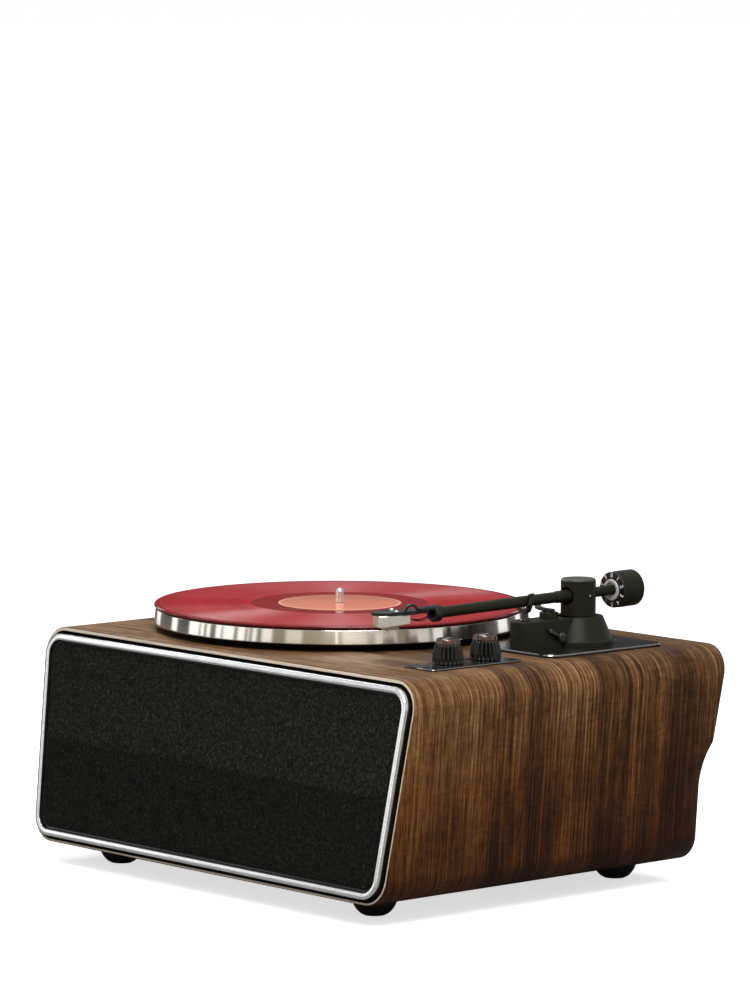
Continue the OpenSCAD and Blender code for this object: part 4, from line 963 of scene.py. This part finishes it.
def cue_lever():
    """Small lever on the block's side: a round hub, a tapered arm and a rounded finger pad."""
    hub_r, hub_w, shaft_r, length = 4, 4, 2, 13
    side, ahead, droop = 11.8, 31, radians(-24)
    at = Matrix.Translation((pivot.x + side, pivot.y - ahead, low("cue_lever").z + hub_r))
    hub = lathe([(shaft_r, -9), (shaft_r, 0), (hub_r, 0, 0.4), (hub_r, hub_w, 0.8), (1, hub_w)], 48)
    hub.transform(at @ LATHE_TO_X)
    swing = at @ Matrix.Rotation(droop, 4, "X")
    plan = convex([(0.6, -length), (3.4, -length), (3.6, 0), (0.4, 0)], 1)
    lever = slab(plan, [(0.4, -1.3), (0, -0.9), (0, 0.9), (0.4, 1.3)])
    lever.transform(swing)
    pad = lathe([(1.2, -1.7), (2, -1.2, 0.4), (2, 1.4, 0.6), (1, 2)], 32)
    pad.transform(swing @ Matrix.Translation((2, -length, 0)))
    assemble("cue_lever_arm", (hub, lever, pad), "gloss", "cue_lever", "black_metal", "cue_lever")


# Arm


def arm_tube():
    r, rear_r, bore, sleeve = 4.4, 4.1, 3.3, 4.9
    on_arm("arm_tube_rod", [
        (bore, -TUBE_FRONT), (r, -TUBE_FRONT, 0.2), (r, -25, 0.3), (sleeve, -24, 0.4),
        (sleeve, 11.5, 0.4), (rear_r, 12, 0.2), (rear_r, TUBE_REAR, 0.4), (bore, TUBE_REAR)],
        "arm", "tonearm", "tube_metal", "arm_tube", ring=True)


def headshell():
    """Collar on the tube, a narrow neck over an open gap, and a tapered plate with two bright screws."""
    collar, bore, rear, front = 6.8, 3.3, -TUBE_FRONT, -TUBE_FRONT - 7
    ring = lathe([
        (bore, front + 4), (bore, front + 0.4, 0.2), (bore + 0.9, front, 0.2), (collar - 1.2, front, 0.5),
        (collar, front + 1, 0.7), (collar, rear - 0.8, 0.5), (collar - 0.8, rear, 0.2), (bore, rear)],
        64, ring=True)
    ring.transform(TO_ARM @ LATHE_TO_Y)
    low_z, high_z, ease = 3.4, 5.8, 0.4
    neck = slab(convex([(-3.6, -171), (3.6, -171), (4.6, -150), (-4.6, -150)], 1),
                [(ease, low_z), (0, low_z + ease), (0, high_z - ease), (ease, high_z)])
    neck.transform(TO_ARM)
    z0, z1 = 1, 3.8
    left = [(-3, 0), (-4, -8), (-8.5, -14), (-8.8, -34), (-3, -46)]
    plan = convex(left + [(-x, y) for x, y in reversed(left)], 1.4)
    plate = slab(plan, [(0.5, z0), (0, z0 + 0.5), (0, z1 - 0.6), (0.6, z1)])
    plate.transform(TO_SHELL)
    assemble("headshell_body", (ring, neck, plate), "black_metal", "tonearm", "shell_metal", "headshell",
             sharp=30)
    half_pitch, screw_y = 6.35, -28
    heads = []
    for x in (-half_pitch, half_pitch):
        head = cross_head(2, 1.2)
        nut = lathe([(1.1, -0.2), (1.1, 0.4)], 24)
        heads += [moved(part, TO_SHELL @ Matrix.Translation((x, screw_y, z1))) for part in (head, nut)]
    assemble("cartridge_screws", heads, "chrome", "tonearm", "chrome", sharp=30)


def finger_lift():
    """Hooked strip that rises in front and curls to the rear."""
    r, t, w, ease = 5.5, 1.9, 3, 0.5
    start, sweep, steps, tip = 205, 195, 28, 10
    centre = Vector((8.4, -17, 4.4))
    loops = []
    for i in range(steps + 1):
        a = radians(start - sweep * i / steps)
        out = Vector((0, cos(a), sin(a)))
        wide = w * (1 - 0.3 * max(0, i - steps + tip) / tip)
        corners = [(0, -t, ease), (wide, -t, ease), (wide, 0, ease), (0, 0, ease)]
        section = soften(corners, closed=True, steps=3)
        loops.append([centre + X * p.x + out * (r + p.y) for p in section])
    put("finger_lift_hook", skin(loops), "black_metal", "tonearm", "shell_metal",
        "finger_lift", at=TO_SHELL)


def cartridge():
    """Champagne body that deepens to the front, and pins at its rear for the leads."""
    w, rear, length, top, bottom, ease = 8.5, -17, 26, 1, -8.5, 0.7
    front = rear - length
    side = convex([(front, top), (front, bottom + 0.6), (rear - 0.8 * length, bottom),
                   (rear, bottom + 2.4), (rear, top)], ease)
    body = slab(side, [(ease, -w), (0, ease - w), (0, w - ease), (ease, w)])
    body.transform(Matrix(((0, 0, 1), (1, 0, 0), (0, 1, 0))).to_4x4())
    put("cartridge_body", body, "champagne", "tonearm", "cartridge_metal", "cartridge", at=TO_SHELL,
        sharp=30)
    pins = []
    for x in LEAD_PLACES:
        pin = lathe([(0.55, rear - 0.5), (0.55, rear + 1.6, 0.2), (0.2, rear + 1.8)], 16)
        pins.append(moved(pin, TO_SHELL @ Matrix.Translation((x, 0, -3)) @ LATHE_TO_Y))
    assemble("cartridge_pins", pins, "bronze", "tonearm", "bronze")


def stylus():
    """Moulded block under the cartridge, with a bent cantilever and its tip."""
    block = slab(rounded_rect(6, 13, 1), [(0.6, -11), (0, -10.2), (0, -8.4)])
    block.transform(TO_SHELL @ Matrix.Translation((0, -31.3, 0)))
    bend = [Vector((0, -31, -10.4)), Vector((0, -34, -11.8)), Vector((0, -36.1, -13))]
    lever = moved(tube(bend, 0.3), TO_SHELL)
    tip = lathe([(0.12, -14.2), (0.4, -13.2), (0.4, -12.7)], 16)
    tip.transform(TO_SHELL @ Matrix.Translation((0, -36, 0)))
    assemble("stylus_assembly", (block, lever, tip), ["ivory", "steel", "steel"], "tonearm",
             "stylus_plastic", "stylus")


def lead_wires():
    """Thin leads that sag from the collar's bore to the cartridge's pins."""
    steps, sway = 16, 0.6
    wires = []
    for i, x in enumerate(LEAD_PLACES):
        a, b = Vector((x, -15.4, -3)), Vector((x * 0.4, 2.5, -0.8))
        sag = 2.2 + 0.5 * (i % 2)
        path = []
        for k in range(steps + 1):
            t = k / steps
            drop = sag * sin(pi * t)
            path.append(a.lerp(b, t) - Z * drop + X * sway * sin(2 * pi * t))
        wires.append(tube(path, 0.42, 8))
    assemble("lead_wire_set", wires, "plastic", "tonearm", "wire_black", "lead_wires", at=TO_SHELL)


def pivot_set():
    """Cap of the housing, and the two dark pivot screws with their small bright points."""
    z0, z1 = heights("pivot_cap")
    turned("pivot_cap_disc", [
        (13.9, z0), (13.4, z0 + 0.3, 0.2), (13.4, z1 - 0.2, 0.7), (11.6, z1, 0.4), (2, z1)],
        "cap", "arm_pivot", "cap_metal", "pivot_cap", centre=pivot, count=96)
    screws = []
    for side in (LATHE_TO_X, Matrix.Rotation(pi, 4, "Z") @ LATHE_TO_X):
        body = lathe([
            (1.5, 5.4), (1.5, 8.6), (2, 8.7), (2, 14.1, 0.3), (1.1, 14.1, 0.1), (0.9, 13.6)], 32)
        point = lathe([(0.8, 13.5), (0.8, 13.9, 0.2), (0.3, 14.1)], 16)
        screws += [moved(part, Matrix.Translation(pivot) @ side) for part in (body, point)]
    assemble("pivot_screw_pair", screws, ["black_metal", "chrome"] * 2, "arm_pivot", "plated_steel",
             "pivot_screws")


DIAL_FACE = 37
DIAL_REAR = 42
NUMBERS_R = 11.7
NUMBER_SIZE = 5
NUMBER_WEIGHT = 0.12
NUMBER_STAND = 0.04


def dial_mark(i):
    """White number of the force dial, the i-th of ten round its face."""
    a = pi * i / 5
    turn = Matrix(((cos(a), sin(a), 0), (0, 0, -1), (-sin(a), cos(a), 0))).to_4x4()
    out = Vector((sin(a), 0, cos(a)))
    text = bpy.data.curves.new("dial_number", "FONT")
    text.body = str(i)
    text.size = NUMBER_SIZE * MM
    text.offset = NUMBER_WEIGHT * MM
    text.extrude = NUMBER_STAND * MM
    text.align_x = text.align_y = "CENTER"
    holder = add("dial_number", text)
    bpy.context.view_layer.update()
    mark = bpy.data.meshes.new_from_object(holder.evaluated_get(bpy.context.evaluated_depsgraph_get()))
    bpy.data.objects.remove(holder)
    place = Matrix.Translation(out * NUMBERS_R + Y * DIAL_FACE)
    return moved(mark, TO_ARM @ place @ turn @ Matrix.Scale(1 / MM, 4))


def weight_set():
    """Counterweight with a hollow rear, its bright inner sleeve and the numbered force dial."""
    on_arm("weight_inner_sleeve", [
        (4.2, 37.2), (5.7, 37, 0.3), (6, 35.7, 0.3), (8.4, 35.5, 0.4), (8.7, 36.9, 0.3), (6.5, 36.9),
        (6.5, 56.8, 0.3), (4.2, 56.8)],
        "satin", "weight_carrier", "machined_metal", "weight_sleeve", ring=True)
    r, bore, rear, hollow = 14.6, 6.55, 60.8, 55.8
    on_arm("weight_body", [
        (bore, DIAL_FACE), (9, DIAL_FACE, 0.2), (9, 42.3), (r, 42.3, 0.4), (r, rear - 1.6, 1),
        (13, rear, 0.6), (11.3, rear, 0.3), (11, hollow, 0.4), (bore, hollow)],
        "arm", "counterweight", "arm_metal", "counterweight", count=96, ring=True)
    on_arm("force_dial_ring", [
        (9.05, DIAL_FACE + 0.2), (9.3, DIAL_FACE, 0.15), (13.9, DIAL_FACE, 0.5),
        (14.4, DIAL_FACE + 0.7, 0.4), (14.4, DIAL_REAR, 0.4), (9.05, DIAL_REAR)],
        "dial", "force_dial", "gloss_black", "force_dial", count=96, ring=True)
    assemble("force_dial_numbers", [dial_mark(i) for i in range(10)], "ink", "force_dial", "gloss_black")


# Feet


def feet():
    """Four domed rubber feet, each with a flat sole and a recess for its screw."""
    r, flat, recess, steps = 18, 9, 4.7, 12
    drop, top = sqrt(r * r - flat * flat), high("feet").z
    profile = [(recess, 7), (recess, 0.3, 0.2), (flat - 0.6, 0, 0.6)]
    for k in range(1, steps + 1):
        z = top * k / steps
        profile.append((sqrt(r * r - (z - drop) ** 2), z))
    soles = [moved(lathe(profile, 96), upright(place)) for place in corner_places("feet", r)]
    assemble("rubber_feet", soles, "rubber", "cabinet", "black_rubber", "feet")


# Fittings on the back


def on_back(mesh, place):
    """Points a mesh that was made about Z backwards, at a place on the back panel."""
    return moved(mesh, Matrix.Translation(place) @ LATHE_TO_Y)


def fitting_base(node, stand):
    """Middle of a fitting where it meets the back panel."""
    place = middle(node)
    return Vector((place.x, high(node).y - stand, place.z))


def phono_set():
    """Gloss plate with two plated barrels and a coloured insert in each."""
    plate_t, reach, r, bore, hole = 2.5, 11.5, 4.15, 3.2, 1.6
    nut_r, nut_top, insert_top = 5.6, plate_t + 1, reach - 0.6
    base = fitting_base("phono_sockets", reach)
    size = extent("phono_sockets")
    plate = slab(rounded_rect(size.x, size.z, 3), [(0, 0), (0, plate_t, 0.7), (1.2, plate_t)])
    put("phono_plate", on_back(plate, base), "gloss", "cabinet", "black_plastic", "phono_sockets")
    barrels, inserts = [], []
    for side in (-1, 1):
        place = base + X * side * size.x / 4
        barrel = lathe([
            (bore, plate_t), (nut_r, plate_t), (nut_r, nut_top, 0.3), (r, nut_top, 0.2), (r, reach, 0.4),
            (bore, reach, 0.2)], 64, ring=True)
        insert = lathe([
            (hole, plate_t), (bore, plate_t), (bore, insert_top, 0.2), (hole, insert_top, 0.3)],
            48, ring=True)
        barrels.append(on_back(barrel, place))
        inserts.append(on_back(insert, place))
    assemble("phono_barrels", barrels, "steel", "cabinet", "plated_steel")
    assemble("phono_inserts", inserts, ["red", "white"], "cabinet", "gloss_black")


def power_inlet():
    """Round inlet: a moulded body with a ring, a plated liner in its bore and the pin in the middle."""
    ring_t, ring_r, body_r, liner_r, bore, pin_r = 2, 8, 6, 3.2, 2.8, 1
    floor, under = -9, -10
    base = fitting_base("dc_inlet", ring_t)
    body = lathe([
        (pin_r, under), (body_r, under), (body_r, 0), (ring_r, 0, 0.2), (ring_r, ring_t, 0.6),
        (5.4, ring_t, 0.3), (4.6, 1.3, 0.3), (liner_r, 1.3, 0.2), (liner_r, floor), (pin_r, floor)],
        64, ring=True)
    liner = lathe([(bore, floor), (liner_r, floor), (liner_r, 1.1), (bore, 1.1, 0.1)], 48, ring=True)
    pin = lathe([(pin_r, floor), (pin_r, -1.2, 0.4), (0.4, -1)], 32)
    meshes = [on_back(mesh, base) for mesh in (body, liner, pin)]
    assemble("power_inlet", meshes, ["plastic", "steel", "steel"], "cabinet", "black_plastic", "dc_inlet")


def switch_bezel():
    """Frame round the rocker, with eased edges and a closed floor."""
    rim_t, rim_w, ease, depth, chamfer = 2, 2, 0.6, 11, 0.4
    size = extent("switch_frame")
    wall = rim_w + 1.6
    outer = rounded_rect(size.x, size.z, 1.6)
    inner = rounded_rect(size.x - 2 * wall, size.z - 2 * wall, 0.6)
    steps = ((outer, rim_w, -depth - 1), (outer, rim_w, 0), (outer, 0, 0), (outer, 0, rim_t - ease),
             (outer, 0.3 * ease, rim_t - 0.3 * ease), (outer, ease, rim_t), (inner, -chamfer, rim_t),
             (inner, 0, rim_t - chamfer), (inner, 0, -depth))
    loops = [[Vector((p[0], p[1], h)) for p in outline(inset)] for outline, inset, h in steps]
    mesh = on_back(skin(loops), fitting_base("switch_frame", rim_t))
    put("switch_bezel", mesh, "gloss", "cabinet", "black_plastic", "switch_frame")


FINISHES = {
    "board": ["back_panel", "front_baffle"],
    "plastic": ["grille_frame"],
    "black_metal": ["speaker_frame_left", "speaker_frame_right", "back_screws"],
    "paper": ["speaker_cone_left", "speaker_cone_right"],
    "machined": ["bearing_housing"],
    "bronze": ["bearing_bush", "motor_pulley", "board_posts", "pivot_bush"],
    "steel": ["motor", "volume_pot", "selector_pot", "foot_screws", "pivot_shaft", "volume_shaft",
              "selector_shaft"],
    "rubber": ["drive_belt"],
    "circuit": ["amp_board"],
    "arm": ["pivot_housing"],
    "rocker": ["switch_rocker"],
}


def dress_cad_nodes():
    """Finishes of the CAD nodes that keep their own shape."""
    for key, names in FINISHES.items():
        for name in names:
            slots = NODES[name].material_slots
            for slot in slots:
                slot.material = MAT[key]
            if not slots:
                NODES[name].data.materials.append(MAT[key])


# Studio

# Softboxes: place, aim, size and power
SOFTBOXES = {
    "right_softbox": ((0.8, -0.55, 1.2), (0.1, 0, 0.15), (0.7, 0.7), 11),
    "left_softbox": ((-1.22, 0.33, 1.2), (0, 0, 0.2), (0.4, 0.4), 4.5),
    "back_softbox": ((-0.85, 0.76, 1.3), (0, 0, 0.2), (0.4, 0.4), 1.6),
    "top_softbox": ((0.1, -0.25, 1.7), (0.05, -0.1, 0.15), (0.5, 0.5), 8),
}

# Strip lights round the object: turn from the right in degrees, width and radiance
STRIPS = ((-190, 0.3, 1.2), (-162, 0.2, 1.4), (-141, 0.27, 1.5), (-133.5, 0.09, 1.4), (-128.5, 0.09, 1.4),
          (-120.5, 0.13, 1.4), (-113, 0.24, 1.3), (-104, 0.15, 1.3), (-99, 0.04, 1.1), (-95, 0.08, 1.2),
          (-87, 0.2, 0.9), (-70, 0.3, 0.5), (-44, 0.04, 1.0), (-33, 0.45, 0.45), (-14, 0.4, 0.5),
          (8, 0.4, 0.55), (22, 0.3, 0.9), (37, 0.55, 0.85), (78, 0.35, 1.1), (102, 0.3, 1.1))
STRIP_H = 0.8
STRIP_REACH = 1.7
STRIP_Z = 0.45
STRIP_AIM = (0, 0, 0.3)

VIEW_AZIMUTH, VIEW_ELEVATION = radians(48.21), radians(8.62)
AIM_AZIMUTH, AIM_ELEVATION = radians(48.313), radians(5.974)
VIEW_ROLL = radians(0.25)
VIEW_DISTANCE = 4.33
VIEW_CENTRE = Vector((0, (front_top_y + rear_top_y) / 2, 97)) * MM
LENS = 193.1
FAR_CLIP = 50
FLOOR_HALF = 100
ROOM_FRONT = (0.75, -0.66, 0)


def backwards(azimuth, elevation):
    """Direction from the object to a camera that stands there."""
    flat = cos(elevation)
    return Vector((sin(azimuth) * flat, -cos(azimuth) * flat, sin(elevation)))


def camera():
    data = bpy.data.cameras.new("photo_camera")
    data.lens = LENS
    data.clip_end = FAR_CLIP
    obj = add("photo_camera", data)
    back = backwards(AIM_AZIMUTH, AIM_ELEVATION)
    right = polar(1, AIM_AZIMUTH)
    up = back.cross(right)
    turn = Matrix((right, up, back)).transposed().to_4x4() @ Matrix.Rotation(VIEW_ROLL, 4, "Z")
    place = VIEW_CENTRE + VIEW_DISTANCE * backwards(VIEW_AZIMUTH, VIEW_ELEVATION)
    obj.matrix_world = Matrix.Translation(place) @ turn
    bpy.context.scene.camera = obj


def softbox(name, place, aim, size, power):
    data = bpy.data.lights.new(name, "AREA")
    data.shape = "RECTANGLE"
    data.size, data.size_y = size
    data.energy = power
    obj = add(name, data)
    obj.location = place
    obj.rotation_euler = (Vector(aim) - Vector(place)).to_track_quat("-Z", "Y").to_euler()
    obj.visible_camera = False
    return obj


def strip(turn, wide, shine):
    """Upright strip light that only shows as a streak in glossy surfaces."""
    place = polar(STRIP_REACH, radians(turn), STRIP_Z)
    power = shine * pi * wide * STRIP_H
    obj = softbox("strip_light", place, STRIP_AIM, (wide, STRIP_H), power)
    obj.visible_diffuse = False


def sky():
    """Dim room under a bright ceiling, warmer in front, that the camera itself sees as white."""
    s = Sky("studio_sky")
    way = s.node("TexCoord").outputs["Generated"]
    forward = s.node("VectorMath", {0: way, 1: ROOM_FRONT}, operation="DOT_PRODUCT").outputs["Value"]
    room = s.ramp(forward, (0.0, grey(0.07)), (0.4, (0.1, 0.093, 0.08)), (1.0, (0.42, 0.35, 0.25)))
    ceiling = s.remap(s.height(way), 0.2, 0.9, 0.0, 1.0)
    light = s.mix(ceiling, room, (*grey(0.8), 1))
    seen = s.node("LightPath").outputs["Is Camera Ray"]
    s.drive("Color", s.mix(seen, light, (1, 1, 1, 1)))
    return s.world


def floor_paper():
    """Pale paper that looks bright to the camera and throws less light on the object."""
    s = Shader("floor_paper", Roughness=0.9, Specular_IOR_Level=0.0)
    seen = s.node("LightPath").outputs["Is Camera Ray"]
    paper = s.ramp(s.noise(s.place(), 3, 2), (0.3, grey(0.88)), (0.7, grey(0.92)))
    s.drive("Base Color", s.mix(seen, (0.3, 0.29, 0.28, 1), paper))
    s.drive("Emission Color", paper)
    s.drive("Emission Strength", s.math("MULTIPLY", seen, 0.75))
    return s.material


def studio():
    """Pale floor, softboxes, and strip lights that streak the metal."""
    scene = bpy.context.scene
    scene.view_settings.view_transform = "Standard"
    scene.world = sky()
    for name, (place, aim, size, power) in SOFTBOXES.items():
        softbox(name, place, aim, size, power)
    for turn, wide, shine in STRIPS:
        strip(turn, wide, shine)
    corners = ((-1, -1), (1, -1), (1, 1), (-1, 1))
    mesh = bpy.data.meshes.new("floor")
    mesh.from_pydata([(x * FLOOR_HALF, y * FLOOR_HALF, 0) for x, y in corners], [], [(0, 1, 2, 3)])
    mesh.materials.append(floor_paper())
    floor = add("floor", mesh)


camera()
studio()
cabinet_shell()
trim_frame()
grille()
grille_surround()
platter_set()
knob("volume_knob_grip", "volume_knob", "volume_knob")
knob("selector_knob_grip", "selector_knob", "selector_knob")
plate_set()
screw_set()
arm_base()
arm_rest()
lifter_set()
cue_lever()
arm_tube()
headshell()
finger_lift()
cartridge()
stylus()
lead_wires()
pivot_set()
weight_set()
feet()
phono_set()
power_inlet()
switch_bezel()
dress_cad_nodes()
